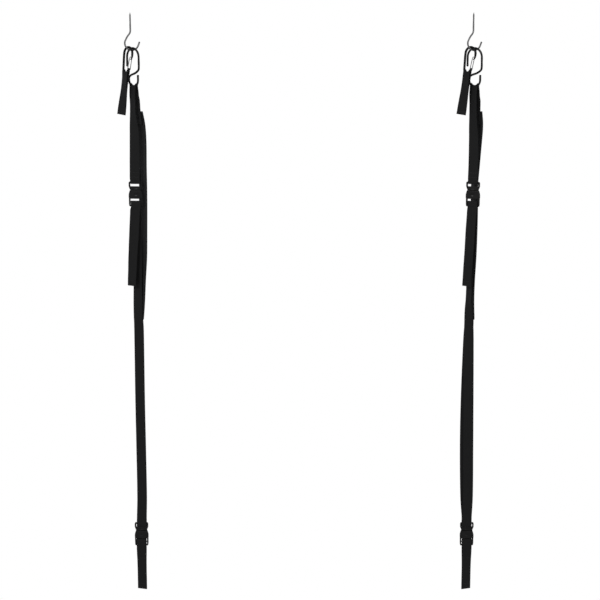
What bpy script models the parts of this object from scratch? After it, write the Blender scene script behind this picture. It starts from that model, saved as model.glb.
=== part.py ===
"""Pair of carrying straps for a hang-on tree stand, each hung from a screw hook.

Each strap is a webbing and pad sling on a coated S-hook, with two side release
buckles, a doubled lower leg and a small wire gate carabiner on a webbing tab.
Units are metres, +Z up, the front faces -Y. Design tables are in millimetres.
"""
import math

import bmesh
import bpy
from mathutils import Matrix, Vector

MM = 0.001
HOOK_PITCH = 0.842            # between the two screw hooks
GAP = 0.3                     # clearance between touching pieces, mm
WEB_WIDTH = 25.4
WEB_THICK = 1.4
HANG_YAW = 45.0               # S-hook and carabiner planes, degrees about Z

# screw hook, in its own plane: u across, z up from the underside of the beam
SCREW_YAW = -20.0
SCREW_WIRE = 2.05
SCREW_THREAD = 33.5
BOWL_CENTRE = (3.0, -41.0)
BOWL_RADIUS = 17.5
BOWL_END_ANGLE = -25.0
BOWL_TIP = (22.6, -38.7)

# S-hook
S_WIRE = 2.6
S_X = 4.8                     # where it crosses the screw hook's bowl
S_TOP_RADIUS = 22.3
S_LOW_RADIUS = 17.2
S_LOW_CENTRE = (1.1, -130.5)
S_TIP_LENGTH = 22.0

# carabiner, in its own plane, z down from the top of its centre line
CARA_ROD = 2.9
CARA_X = -3.2
CARA_CONTACT = 2.0            # the screw hook touches the top arch off its middle
CARA_LEAN = 5.4
CARA_TOP_RADIUS = 15.6
CARA_LOW_RADIUS = 10.5
CARA_LOW_CENTRE = (-4.0, -53.7)
GATE_WIRE = 1.0
GATE_PIVOT = (6.4, -54.9)
GATE_TOP = (11.0, -23.6)
TAB_LENGTH = 101.0
TAB_YAW = (57.0, 32.0)
TAB_LEAN = 7.4

# side release buckle, z down from the top edge of its male half
BUCKLE_HALF = 17.5
SLOT_HALF = 14.0
BAR_Z = -2.6
BAR_RADIUS = 2.3
MALE_THICK = 5.5
MALE_END = -21.5
MOUTH_Z = -22.0
POCKET_END = -41.5
LADDER_BAR = (-51.6, 1.6)
END_BAR = (-60.8, 2.0)
BUCKLE_END = -63.0
RECEIVER_THICK = 10.0
POCKET_DEPTH = 6.4
POCKET_HALF = 13.2
ARM_THICK = 4.5
ARM_PIVOT = (10.3, -23.9)
TAIL_START = -66.5
LOOP_Z = -7.6                 # slack loops of the lower leg
LOOP_RADIUS = 3.7
SLACK_Z = -48.4

# pad sandwich, mm
PAD_FOAM = 3.6
PAD_SKIN = 0.9
PAD_THICK = PAD_FOAM + 2 * (PAD_SKIN + GAP)
PAD_TOP = -208.0
PAD_END = -733.0
SLING_FLEX_Z = -166.0
LEG_FLEX_Z = -735.6
LEG_TOP = -738.2

# (z, x, y, yaw, width) along each run of webbing or pad
STRAPS = {
    "left": {
        "side": -1.0,
        "upper_buckle": (6.6, -7.0, -381.6, 5.0),
        "lower_buckle": (4.0, -3.0, -1272.5, 4.0),
        "lower_shift": 0.9,
        "front": [(-168, 1.7, -1.2, 52, 24.8), (-200, 2.6, -2.4, 54, 25.4), (-225, 2.6, -3.6, 50, 25.4),
                  (-255, 4.4, -5.2, 32, 25.4), (-290, 5.6, -7.0, 14, 25.4), (-340, 5.2, -9.0, 6, 25.4),
                  (-374, 4.9, -10.2, 5, 25.4)],
        "back": [(-168, 10.4, 4.4, 52, 24.8), (-180, 12.6, 4.0, 52, 25.4), (-206, 14.3, 2.4, 53, 25.4),
                 (-240, 18.1, 3.1, 55, 25.4)],
        "pad": [(-208, 17.8, 4.9, 52, 25), (-240, 21.6, 5.5, 55, 31), (-284, 23.6, 6.0, 61, 38),
                (-344, 23.6, 6.6, 63, 40), (-404, 23.6, 7.0, 62, 40), (-450, 22.8, 7.0, 61, 40),
                (-510, 21.7, 6.0, 58, 40), (-571, 17.3, 4.0, 48, 40), (-633, 11.6, 1.7, 39, 38),
                (-679, 9.5, 0.5, 34, 34), (-710, 8.3, -0.7, 30, 30), (-733, 7.4, -1.5, 26, 26)],
        "load": [(-447.5, 5.5, -4.0, 5, 25.4), (-510, 5.8, -4.2, 10, 25.4), (-571, 6.5, -5.0, 16, 25.4),
                 (-633, 7.0, -5.6, 28, 25.4), (-690, 6.9, -3.6, 32, 25.4), (-733, 5.7, -5.4, 26, 25.4)],
        "tail": [(-449, 4.6, -10.0, 5, 25.4), (-510, 0.7, -12.0, 12, 25.4), (-571, -3.4, -13.0, 22, 25.4),
                 (-644, -7.6, -13.4, 33, 25.4)],
        "leg_front": [(-738, 7.4, -2.7, 12, 25.2), (-945, 6.8, -4.2, 10, 25.4), (-1073, 7.1, -4.2, 8, 25.4),
                      (-1202, 7.1, -4.4, 6, 25.4), (-1256, 5.4, -5.6, 4, 25.4)],
        "leg_back": [(-738, 7.8, -0.5, 12, 25.2), (-945, 6.8, -1.6, 10, 25.4), (-1073, 7.1, -1.6, 8, 25.4),
                     (-1202, 7.1, -1.6, 6, 25.4), (-1256, 5.4, -0.4, 4, 25.4)],
        "end_yaw": 18.0,
    },
    "right": {
        "side": 1.0,
        "upper_buckle": (5.8, -12.0, -381.6, 25.0),
        "lower_buckle": (8.6, -3.0, -1272.5, -3.0),
        "lower_shift": -0.9,
        "front": [(-168, 1.7, -1.2, 52, 24.8), (-200, 2.4, -3.0, 54, 25.4), (-225, 2.5, -4.8, 50, 25.4),
                  (-255, 3.9, -7.6, 40, 25.4), (-290, 5.0, -10.4, 30, 25.4), (-340, 4.9, -13.4, 26, 25.4),
                  (-374, 4.2, -15.0, 25, 25.4)],
        "back": [(-168, 10.4, 4.4, 52, 24.8), (-180, 12.4, 4.6, 52, 25.4), (-206, 12.9, 3.8, 53, 25.4),
                 (-240, 14.6, 5.4, 56, 25.4)],
        "pad": [(-208, 16.4, 6.2, 52, 25), (-240, 18.0, 7.8, 56, 31), (-284, 16.7, 10.5, 66, 38),
                (-344, 14.7, 13.5, 73, 40), (-404, 12.0, 15.5, 75, 40), (-450, 12.7, 15.0, 73, 40),
                (-510, 11.3, 12.5, 70, 40), (-571, 9.1, 9.0, 68, 40), (-633, 6.3, 5.2, 67, 38),
                (-679, 5.6, 2.6, 64, 34), (-710, 5.3, 0.3, 55, 30), (-733, 4.6, -1.5, 38, 26)],
        "load": [(-447.5, 6.7, -9.3, 25, 25.4), (-510, 6.2, -8.6, 30, 25.4), (-571, 5.0, -8.2, 40, 25.4),
                 (-633, 2.8, -3.8, 58, 25.4), (-690, 1.4, -1.2, 60, 25.4), (-733, 1.9, -5.6, 38, 25.4)],
        "tail": [(-449, 3.9, -14.8, 25, 25.4), (-510, 0.3, -17.0, 29, 25.4), (-571, -2.6, -18.0, 33, 25.4),
                 (-644, -6.3, -18.4, 35, 25.4)],
        "leg_front": [(-738, 3.4, -2.8, 26, 25.2), (-788, 3.8, -3.4, 17, 25.4), (-945, 6.2, -4.6, 8, 25.4),
                      (-1073, 8.2, -4.8, 4, 25.4), (-1202, 9.8, -4.8, 0, 25.4), (-1256, 8.0, -5.8, -3, 25.4)],
        "leg_back": [(-738, 4.0, -0.6, 26, 25.2), (-788, 2.2, -0.4, 20, 25.4), (-945, -0.8, -0.4, 14, 25.4),
                     (-1073, -0.6, -0.6, 10, 25.4), (-1202, 3.0, -1.0, 4, 25.4), (-1256, 7.2, -0.6, -3, 25.4)],
        "end_yaw": -20.0,
    },
}

FINISHES = {
    "zinc_steel": ((0.36, 0.36, 0.37), 0.42, 0.9),
    "vinyl_coating": ((0.012, 0.012, 0.013), 0.35, 0.0),
    "black_alloy": ((0.015, 0.015, 0.016), 0.38, 0.4),
    "gate_steel": ((0.62, 0.62, 0.63), 0.28, 1.0),
    "webbing": ((0.010, 0.010, 0.011), 0.82, 0.0),
    "pad_fabric": ((0.011, 0.011, 0.012), 0.88, 0.0),
    "foam": ((0.05, 0.05, 0.052), 0.95, 0.0),
    "buckle_plastic": ((0.010, 0.010, 0.011), 0.45, 0.0),
}


def clear_scene():
    for obj in list(bpy.data.objects):
        bpy.data.objects.remove(obj, do_unlink=True)


def new_collection(name):
    collection = bpy.data.collections.new(name)
    bpy.context.scene.collection.children.link(collection)
    return collection


def finish_material(finish, node):
    colour, roughness, metallic = FINISHES[finish]
    material = bpy.data.materials.new(node + "_" + finish)
    material.use_nodes = True
    shader = material.node_tree.nodes["Principled BSDF"]
    shader.inputs["Base Color"].default_value = (*colour, 1.0)
    shader.inputs["Roughness"].default_value = roughness
    shader.inputs["Metallic"].default_value = metallic
    return material


def smooth(t):
    return t * t * (3.0 - 2.0 * t)


def yaw_direction(yaw):
    """Unit vector across a piece that is turned so that its +X side comes forward."""
    return Vector((math.cos(math.radians(yaw)), -math.sin(math.radians(yaw)), 0.0))


def arc(centre, radius, start, end, steps):
    """Points on an arc in the (u, z) plane, angles in degrees from +u."""
    points = []
    for step in range(steps + 1):
        angle = math.radians(start + (end - start) * step / steps)
        points.append((centre[0] + radius * math.cos(angle), centre[1] + radius * math.sin(angle)))
    return points


def rounded_path(points, steps):
    """Catmull-Rom curve through (u, z) points."""
    result = []
    for index in range(len(points) - 1):
        before = Vector(points[max(index - 1, 0)])
        first = Vector(points[index])
        second = Vector(points[index + 1])
        after = Vector(points[min(index + 2, len(points) - 1)])
        for step in range(steps):
            t = step / steps
            linear = second - before
            square = 2.0 * before - 5.0 * first + 4.0 * second - after
            cube = 3.0 * first - before - 3.0 * second + after
            result.append(tuple(first + 0.5 * (linear * t + square * t * t + cube * t * t * t)))
    result.append(tuple(points[-1]))
    return result


def station(table, z):
    """Centre, yaw and width of a run at height z, smoothly between its table rows."""
    rows = sorted(table, key=lambda row: -row[0])
    z = min(max(z, rows[-1][0]), rows[0][0])
    for index in range(len(rows) - 1):
        upper = rows[index]
        lower = rows[index + 1]
        if z >= lower[0]:
            break
    before = rows[max(index - 1, 0)]
    after = rows[min(index + 2, len(rows) - 1)]
    span = upper[0] - lower[0]
    t = (upper[0] - z) / span
    values = []
    for column in range(1, 5):
        slope_in = (lower[column] - before[column]) * span / max(before[0] - lower[0], span)
        slope_out = (after[column] - upper[column]) * span / max(upper[0] - after[0], span)
        values.append((2 * t ** 3 - 3 * t ** 2 + 1) * upper[column]
                      + (t ** 3 - 2 * t ** 2 + t) * slope_in
                      + (3 * t ** 2 - 2 * t ** 3) * lower[column]
                      + (t ** 3 - t ** 2) * slope_out)
    x, y, yaw, width = values
    return Vector((x, y, z)), yaw, width


def flat_row(centre, yaw, width, across=2):
    direction = yaw_direction(yaw)
    return [centre + direction * width * (step / across - 0.5) for step in range(across + 1)]


def run_rows(table, start, end, count, offset=0.0, across=2):
    """Rows of a flat run from one height to another, moved along its normal by offset."""
    rows = []
    for step in range(count + 1):
        z = start + (end - start) * step / count
        centre, yaw, width = station(table, z)
        normal = yaw_direction(yaw - 90.0)
        rows.append(flat_row(centre + normal * offset, yaw, width, across))
    return rows


class Builder:
    """Makes one strap's objects and parents each to the empty of its body."""

    def __init__(self, side, parts, cutters):
        self.side = side
        self.data = STRAPS[side]
        self.origin = Vector((self.data["side"] * HOOK_PITCH / 2, 0.0, 0.0))
        self.parts = parts
        self.cutters = cutters
        self.pivots = {}
        self.places = {}

    def world(self, point):
        return self.origin + Vector(point) * MM

    def pivot(self, name, point, parent=None):
        empty = bpy.data.objects.new(self.side + "_" + name + "_pivot", None)
        empty.empty_display_size = 0.01
        place = self.world(point)
        empty.location = place
        if parent:
            empty.parent = self.pivots[parent]
            empty.matrix_parent_inverse = Matrix.Translation(-self.places[parent])
        self.parts.objects.link(empty)
        self.pivots[name] = empty
        self.places[name] = place

    def add(self, name, data, body, finish, frame=None):
        obj = bpy.data.objects.new(self.side + "_" + name, data)
        obj.matrix_world = frame if frame else Matrix.Translation(self.origin)
        local = obj.matrix_world.copy()
        self.parts.objects.link(obj)
        obj.parent = self.pivots[body]
        obj.matrix_parent_inverse = Matrix.Translation(-self.places[body])
        obj.matrix_basis = local
        obj.data.materials.append(finish_material(finish, obj.name))
        return obj

    def wire(self, name, points, radius, body, finish, radii=None):
        """A round wire along points given in millimetres in the strap's frame."""
        curve = bpy.data.curves.new(self.side + "_" + name, "CURVE")
        curve.dimensions = "3D"
        curve.bevel_depth = radius * MM
        curve.bevel_resolution = 2
        curve.use_fill_caps = True
        spline = curve.splines.new("POLY")
        spline.points.add(len(points) - 1)
        for index, point in enumerate(points):
            spline.points[index].co = (*(Vector(point) * MM), 1.0)
            spline.points[index].radius = radii[index] if radii else 1.0
        return self.add(name, curve, body, finish)

    def sheet(self, name, rows, thickness, body, finish):
        """An open surface through rows of points in millimetres, made solid."""
        mesh = bpy.data.meshes.new(self.side + "_" + name)
        work = bmesh.new()
        grid = [[work.verts.new(point * MM) for point in row] for row in rows]
        for upper, lower in zip(grid, grid[1:]):
            for index in range(len(upper) - 1):
                work.faces.new((upper[index], upper[index + 1], lower[index + 1], lower[index]))
        work.to_mesh(mesh)
        work.free()
        mesh.shade_smooth()
        obj = self.add(name, mesh, body, finish)
        solid = obj.modifiers.new("Thickness", "SOLIDIFY")
        solid.thickness = thickness * MM
        solid.offset = 0.0
        return obj

    def cutter(self, name, data, frame):
        obj = bpy.data.objects.new(self.side + "_" + name, data)
        obj.matrix_world = frame
        obj.hide_render = True
        obj.display_type = "WIRE"
        self.cutters.objects.link(obj)
        return obj


def plate_mesh(name, outline, thickness):
    """A flat outline in (x, z), extruded evenly about y = 0, as a closed mesh."""
    curve = bpy.data.curves.new(name + "_outline", "CURVE")
    curve.dimensions = "2D"
    curve.fill_mode = "BOTH"
    curve.extrude = thickness * MM / 2
    spline = curve.splines.new("POLY")
    spline.points.add(len(outline) - 1)
    for index, (x, z) in enumerate(outline):
        spline.points[index].co = (x * MM, z * MM, 0.0, 1.0)
    spline.use_cyclic_u = True
    guide = bpy.data.objects.new(name + "_outline", curve)
    bpy.context.scene.collection.objects.link(guide)
    bpy.context.view_layer.update()
    mesh = bpy.data.meshes.new_from_object(guide.evaluated_get(bpy.context.evaluated_depsgraph_get()))
    bpy.data.objects.remove(guide, do_unlink=True)
    work = bmesh.new()
    work.from_mesh(mesh)
    bmesh.ops.remove_doubles(work, verts=work.verts, dist=0.00001)
    bmesh.ops.rotate(work, verts=work.verts, matrix=Matrix.Rotation(math.pi / 2, 3, "X"))
    bmesh.ops.recalc_face_normals(work, faces=work.faces)
    work.to_mesh(mesh)
    work.free()
    mesh.name = name
    return mesh


def box_mesh(name, boxes):
    """Closed boxes, each given by its low and high corner in millimetres."""
    mesh = bpy.data.meshes.new(name)
    work = bmesh.new()
    for low, high in boxes:
        low = Vector(low) * MM
        high = Vector(high) * MM
        place = Matrix.Translation((low + high) / 2) @ Matrix.Diagonal((*(high - low), 1.0))
        bmesh.ops.create_cube(work, size=1.0, matrix=place)
    work.to_mesh(mesh)
    work.free()
    return mesh


def bar_mesh(name, z, radius, half):
    """A round bar along X at height z."""
    mesh = bpy.data.meshes.new(name)
    work = bmesh.new()
    place = Matrix.Translation((0.0, 0.0, z * MM)) @ Matrix.Rotation(math.pi / 2, 4, "Y")
    bmesh.ops.create_cone(work, cap_ends=True, segments=10, radius1=radius * MM, radius2=radius * MM,
                          depth=2 * half * MM, matrix=place)
    work.to_mesh(mesh)
    work.free()
    return mesh


def mirrored(half):
    """A closed outline from its right half, which runs from the top down."""
    return list(half) + [(-x, z) for x, z in reversed(half) if x > 0.0]


def boolean(obj, operand, operation):
    modifier = obj.modifiers.new(operand.name, "BOOLEAN")
    modifier.operation = operation
    modifier.object = operand
    modifier.solver = "EXACT"


def buckle_frame(builder, place):
    x, y, z, yaw = place
    turn = Matrix.Rotation(math.radians(-yaw), 4, "Z")
    return Matrix.Translation(builder.world((x, y, z))) @ turn


def buckle_point(place, local):
    """A point of the buckle, in the strap's frame."""
    x, y, z, yaw = place
    across = yaw_direction(yaw)
    back = yaw_direction(yaw - 90.0)
    return Vector((x, y, z)) + across * local[0] + back * local[1] + Vector((0.0, 0.0, local[2]))


def male_half(builder, level, place, body):
    """End frame with a round webbing bar and a centre guide rib."""
    frame = buckle_frame(builder, place)
    top_ear = arc((13.5, -4.0), 4.0, 75, 0, 3)
    half = top_ear + [(BUCKLE_HALF, -12.0), (16.0, -16.5), (14.6, -19.5), (14.6, MALE_END),
                      (3.0, MALE_END - 0.4), (3.0, -37.5), (1.8, -38.5)]
    outline = mirrored(half)
    name = level + "_buckle_male"
    male = builder.add(name, plate_mesh(name, outline, MALE_THICK), body, "buckle_plastic", frame)
    slot = builder.cutter(name + "_slot", box_mesh("slot", [((-SLOT_HALF, -5, -12.3), (SLOT_HALF, 5, 5))]), frame)
    boolean(male, slot, "DIFFERENCE")
    bar = builder.cutter(name + "_bar", bar_mesh("bar", BAR_Z, BAR_RADIUS, 14.7), frame)
    boolean(male, bar, "UNION")
    thin = box_mesh("thin", [((-4, 2.2, -45), (4, 5, -21.8)), ((-4, -5, -45), (4, -2.2, -21.8))])
    boolean(male, builder.cutter(name + "_thin", thin, frame), "DIFFERENCE")


def latch_arm(builder, level, place, hand, sign, body):
    """One sprung prong, with its catch in the female's side window."""
    root = arc(ARM_PIVOT, 2.0, 180, 0, 4)
    head = arc((12.2, -35.3), 4.9, 0, -80, 4)
    outline = root + [(12.6, -31.2), (16.9, -31.7)] + head + [(9.6, -40.2), (9.2, -34.0)]
    outline = [(sign * x, z) for x, z in outline]
    name = level + "_latch_arm_" + hand
    frame = buckle_frame(builder, place)
    builder.add(name, plate_mesh(name, outline, ARM_THICK), body, "buckle_plastic", frame)


def female_half(builder, level, place, body):
    """Receiver with side windows above a two-bar ladder frame."""
    frame = buckle_frame(builder, place)
    name = level + "_buckle_female"
    corner = arc((13.3, -59.2), 3.8, -5, -85, 3)
    half = [(14.6, MOUTH_Z), (15.2, -24.0), (16.4, -28.0), (BUCKLE_HALF, -32.5), (BUCKLE_HALF, -54.0)]
    female = builder.add(name, plate_mesh(name, mirrored(half + corner), 6.0), body, "buckle_plastic", frame)
    shell_half = half[:4] + [(BUCKLE_HALF, -41.0), (16.2, -42.8)]
    shell = builder.cutter(name + "_shell", plate_mesh("shell", mirrored(shell_half), RECEIVER_THICK), frame)
    boolean(female, shell, "UNION")
    depth = POCKET_DEPTH / 2
    pocket = box_mesh("pocket", [((-POCKET_HALF, -depth, POCKET_END), (POCKET_HALF, depth, 1.0))])
    boolean(female, builder.cutter(name + "_pocket", pocket, frame), "DIFFERENCE")
    windows = box_mesh("windows", [((-25.0, -2.6, POCKET_END), (25.0, 2.6, -31.0))])
    boolean(female, builder.cutter(name + "_windows", windows, frame), "DIFFERENCE")
    opening = box_mesh("opening", [((-SLOT_HALF, -9, -70.0), (SLOT_HALF, 9, -43.4))])
    boolean(female, builder.cutter(name + "_opening", opening, frame), "DIFFERENCE")
    for label, (z, radius) in (("ladder", LADDER_BAR), ("end", END_BAR)):
        bar = builder.cutter(name + "_" + label + "_bar", bar_mesh(label, z, radius, 15.5), frame)
        boolean(female, bar, "UNION")


def wrap_rows(place, z, radius, start, end, steps, shift=0.0, across=2):
    """Rows of webbing round a buckle bar, angles in degrees from the front over the top."""
    rows = []
    for step in range(steps + 1):
        angle = math.radians(start + (end - start) * step / steps)
        rise = radius * math.sin(angle)
        row = []
        for index in range(across + 1):
            side = shift + WEB_WIDTH * (index / across - 0.5)
            row.append(buckle_point(place, (side, -radius * math.cos(angle), z + rise)))
        rows.append(row)
    return rows


def saddle_rows(centre, u_dir, n_dir, down, bend, wire, steps=6, across=4):
    """Rows of webbing gathered over the inside of a bent wire, front side first."""
    lift = wire + GAP + WEB_THICK / 2
    rows = []
    for step in range(steps + 1):
        turn = math.pi * (step / steps - 0.5)
        reach = bend - lift * math.cos(turn)
        spread = min(WEB_WIDTH / 2 / reach, math.radians(80))
        row = []
        for index in range(across + 1):
            angle = spread * (2 * index / across - 1)
            point = centre + u_dir * reach * math.sin(angle) + down * reach * math.cos(angle)
            row.append(point + n_dir * lift * math.sin(turn))
        rows.append(row)
    return rows


def blended_rows(curved, flat, count):
    """Rows between a gathered row and a flat one."""
    rows = []
    for step in range(1, count + 1):
        t = step / count
        rows.append([a.lerp(b, smooth(t)) for a, b in zip(curved, flat)])
        for point, high, low in zip(rows[-1], curved, flat):
            point.z = high.z + (low.z - high.z) * t
    return rows


def make_screw_hook(builder):
    half_bend = rounded_path([(0.0, -11.0), (-1.6, -17.0), (-8.0, -25.5), (-13.4, -33.5)], 3)[:-1]
    bowl = arc(BOWL_CENTRE, BOWL_RADIUS, 166, 360 + BOWL_END_ANGLE, 15) + [BOWL_TIP]
    path = [(0.0, SCREW_THREAD), (0.0, SCREW_THREAD - 5.0), (0.0, 0.5), (0.0, -0.5)] + half_bend + bowl
    radii = [0.18, 1.1, 1.1, 1.0] + [1.0] * (len(half_bend) + len(bowl))
    across = yaw_direction(SCREW_YAW)
    points = [across * u + Vector((0.0, 0.0, z)) for u, z in path]
    builder.wire("screw_hook", points, SCREW_WIRE, "root", "zinc_steel", radii)


def bowl_point(x):
    """Centre of the screw hook's wire where it passes under strap-frame x."""
    across = yaw_direction(SCREW_YAW)
    u = x / across.x
    z = BOWL_CENTRE[1] - math.sqrt(BOWL_RADIUS ** 2 - (u - BOWL_CENTRE[0]) ** 2)
    return across * u + Vector((0.0, 0.0, z))


def s_hook_top():
    return bowl_point(S_X) + Vector((0.0, 0.0, SCREW_WIRE + S_WIRE + GAP))


def make_s_hook(builder):
    top = s_hook_top()
    centre_z = top.z - S_TOP_RADIUS
    arch = arc((0.0, centre_z), S_TOP_RADIUS, 180, 0, 12)
    low_u, low_z = S_LOW_CENTRE
    bowl = arc(S_LOW_CENTRE, S_LOW_RADIUS, 184, 360, 10)
    sweep = rounded_path([(S_TOP_RADIUS, centre_z - 8.0), (S_TOP_RADIUS, -99.5), (20.4, -106.2),
                          (8.5, -113.8), (-9.0, -119.8), (-15.6, -125.5)], 3)[:-1]
    path = [(-S_TOP_RADIUS, centre_z - S_TIP_LENGTH)] + arch + sweep + bowl
    path += [(low_u + S_LOW_RADIUS, low_z + 11.5)]
    across = yaw_direction(HANG_YAW)
    base = Vector((top.x, top.y, 0.0))
    points = [base + across * u + Vector((0.0, 0.0, z)) for u, z in path]
    builder.wire("s_hook", points, S_WIRE, "s_hook", "vinyl_coating")


def carabiner_matrix():
    """Frame of the carabiner: x across its plane, y its normal, z up, leaning with its tab."""
    wire = bowl_point(CARA_X)
    slope = 1.16              # the bowl's wire is steep here, so the rod sits higher
    drop = CARA_TOP_RADIUS - math.sqrt(CARA_TOP_RADIUS ** 2 - CARA_CONTACT ** 2)
    top = wire + Vector((0.0, 0.0, (SCREW_WIRE + CARA_ROD + GAP) * slope + drop))
    lean = Matrix.Rotation(math.radians(CARA_LEAN), 4, yaw_direction(SCREW_YAW - 90.0))
    yaw = Matrix.Rotation(math.radians(-HANG_YAW), 4, "Z")
    shift = Matrix.Translation((-CARA_CONTACT, 0.0, 0.0))
    return Matrix.Translation(top) @ lean @ yaw @ shift


def make_carabiner(builder):
    frame = carabiner_matrix()
    low = CARA_LOW_CENTRE
    path = [(GATE_PIVOT[0], GATE_PIVOT[1] + 3.6)]
    path += arc(low, CARA_LOW_RADIUS, 0, -180, 12)
    path += [(-15.2, -38.0), (-15.8, -24.0)]
    path += arc((0.0, -CARA_TOP_RADIUS), CARA_TOP_RADIUS, 176, 0, 13)
    path += [(15.6, -20.5), (14.9, -25.4), (12.9, -28.3), (10.4, -28.9)]
    radii = [1.0] * (len(path) - 5) + [1.0, 0.95, 0.8, 0.62, 0.5]
    points = [frame @ Vector((u, 0.0, z)) for u, z in path]
    builder.wire("carabiner_body", points, CARA_ROD, "carabiner", "black_alloy", radii)

    foot = CARA_ROD + GAP + GATE_WIRE
    side = 3.5
    pivot = Vector(GATE_PIVOT)
    head = Vector(GATE_TOP)
    spread = [(t, foot + (side - foot) * t) for t in (0.0, 0.3, 0.6, 0.88)]
    leg = [(pivot.lerp(head, t), n) for t, n in spread]
    bend = [(head, side * math.cos(a)) for a in (0.9, 1.57)]
    half = leg + bend
    gate = [frame @ Vector((p.x, n, p.y)) for p, n in half]
    gate += [frame @ Vector((p.x, -n, p.y)) for p, n in reversed(half[:-1])]
    builder.wire("carabiner_gate", gate, GATE_WIRE, "carabiner_gate", "gate_steel")
    return frame


def make_tab(builder, frame):
    """Webbing tab: a loop round the carabiner's lower bend, and its two hanging plies."""
    rotation = frame.to_3x3()
    across = rotation @ Vector((1.0, 0.0, 0.0))
    normal = rotation @ Vector((0.0, 1.0, 0.0))
    down = rotation @ Vector((0.0, 0.0, -1.0))
    centre = frame @ Vector((CARA_LOW_CENTRE[0], 0.0, CARA_LOW_CENTRE[1]))
    saddle = saddle_rows(centre, across, normal, down, CARA_LOW_RADIUS, CARA_ROD, 6)
    bottom, lean = tab_frame()
    front = blended_rows(saddle[0], tab_row(bottom, lean, 7.0, -2.6, 0.0), 2)
    back = blended_rows(saddle[-1], tab_row(bottom, lean, 7.0, 2.6, 0.0), 2)
    builder.sheet("tether_loop", list(reversed(front)) + saddle + back, WEB_THICK, "carabiner", "webbing")

    front = []
    back = []
    for step in range(6):
        t = step / 5
        ply = 2.6 - 1.7 * smooth(min(1.0, 1.6 * t))
        distance = 10.5 + (TAB_LENGTH - 12.0) * t
        front.append(tab_row(bottom, lean, distance, -ply, t))
        back.append(tab_row(bottom, lean, distance, ply, t))
    hem = tab_row(bottom, lean, TAB_LENGTH, 0.0, 1.0)
    builder.sheet("tether_tab", front + [hem] + list(reversed(back)), WEB_THICK, "tether_tab", "webbing")


def tab_frame():
    """Where the tab leaves the carabiner, and the way it hangs."""
    frame = carabiner_matrix()
    down = frame.to_3x3() @ Vector((0.0, 0.0, -1.0))
    centre = frame @ Vector((CARA_LOW_CENTRE[0], 0.0, CARA_LOW_CENTRE[1]))
    angle = math.radians(TAB_LEAN)
    return centre + down * (CARA_LOW_RADIUS + CARA_ROD), Vector((-math.sin(angle), 0.0, -math.cos(angle)))


def tab_row(bottom, lean, distance, ply, t):
    """A row across the tab, which untwists on its way down."""
    across = yaw_direction(TAB_YAW[0] + (TAB_YAW[1] - TAB_YAW[0]) * smooth(t))
    across = (across - lean * across.dot(lean)).normalized()
    normal = lean.cross(across)
    if normal.y < 0.0:
        normal = -normal
    middle = bottom + lean * distance + normal * ply
    return [middle + across * WEB_WIDTH * (index / 4 - 0.5) for index in range(5)]


def make_sling(builder):
    """Webbing over the S-hook, the front leg to the buckle and the back leg to the pad."""
    top = s_hook_top()
    across = yaw_direction(HANG_YAW)
    normal = yaw_direction(HANG_YAW - 90.0)
    centre = Vector((top.x, top.y, S_LOW_CENTRE[1])) + across * S_LOW_CENTRE[0]
    saddle = saddle_rows(centre, across, normal, Vector((0, 0, -1)), S_LOW_RADIUS, S_WIRE, 6)
    front_top = run_rows(builder.data["front"], SLING_FLEX_Z + 2.4, SLING_FLEX_Z, 1, 0.0, 4)[0]
    back_top = run_rows(builder.data["back"], SLING_FLEX_Z + 2.4, SLING_FLEX_Z, 1, 0.0, 4)[0]
    for row in (front_top, back_top):
        for point in row:
            point.z = SLING_FLEX_Z + 2.4
    front = blended_rows(saddle[0], front_top, 3)
    back = blended_rows(saddle[-1], back_top, 3)
    builder.sheet("sling_loop", list(reversed(front)) + saddle + back, WEB_THICK, "s_hook", "webbing")

    place = builder.data["upper_buckle"]
    rows = run_rows(builder.data["front"], -168.4, -374.0, 14)
    radius = BAR_RADIUS + GAP + WEB_THICK / 2
    rows += wrap_rows(place, BAR_Z, radius, 0, -180, 6)
    rows += [[buckle_point(place, (side, 3.0, 8.0)) for side in (-12.7, 0, 12.7)],
             [buckle_point(place, (side, -0.4, 26.0)) for side in (-12.7, 0, 12.7)]]
    builder.sheet("front_webbing", rows, WEB_THICK, "sling", "webbing")
    builder.sheet("back_webbing", run_rows(builder.data["back"], -168.4, -240.0, 5), WEB_THICK, "sling", "webbing")


def make_pad(builder):
    """Foam between two fabric skins, with a binding tape round the edge."""
    table = builder.data["pad"]
    skin = PAD_FOAM / 2 + GAP + PAD_SKIN / 2
    builder.sheet("pad_foam", run_rows(table, PAD_TOP, PAD_END, 22, 0.0), PAD_FOAM, "sling", "foam")
    builder.sheet("pad_face", run_rows(table, PAD_TOP, PAD_END, 22, -skin), PAD_SKIN, "sling", "pad_fabric")
    builder.sheet("pad_backing", run_rows(table, PAD_TOP, PAD_END, 22, skin), PAD_SKIN, "sling", "pad_fabric")
    for hand, sign in (("left", -1.0), ("right", 1.0)):
        rows = []
        for step in range(23):
            centre, yaw, width = station(table, PAD_TOP + (PAD_END - PAD_TOP) * step / 22)
            direction = yaw_direction(yaw)
            normal = yaw_direction(yaw - 90.0)
            edge = centre + direction * sign * (width / 2 + 2 * GAP + PAD_SKIN / 2)
            rows.append([edge - normal * PAD_THICK / 2, edge + normal * PAD_THICK / 2])
        builder.sheet("pad_binding_" + hand, rows, PAD_SKIN, "sling", "webbing")


def make_adjuster(builder):
    """Load run behind the ladder frame, the turn over its bar, and the free tail."""
    place = builder.data["upper_buckle"]
    builder.sheet("load_run", run_rows(builder.data["load"], -448.0, -733.0, 12), WEB_THICK, "sling", "webbing")
    ladder_wrap(builder, "adjuster_wrap", place, "upper_buckle_female", 0.0, LADDER_BAR[0])
    builder.sheet("adjuster_tail", run_rows(builder.data["tail"], -450.6, -644.0, 8), WEB_THICK,
                  "adjuster_tail", "webbing")


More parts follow.
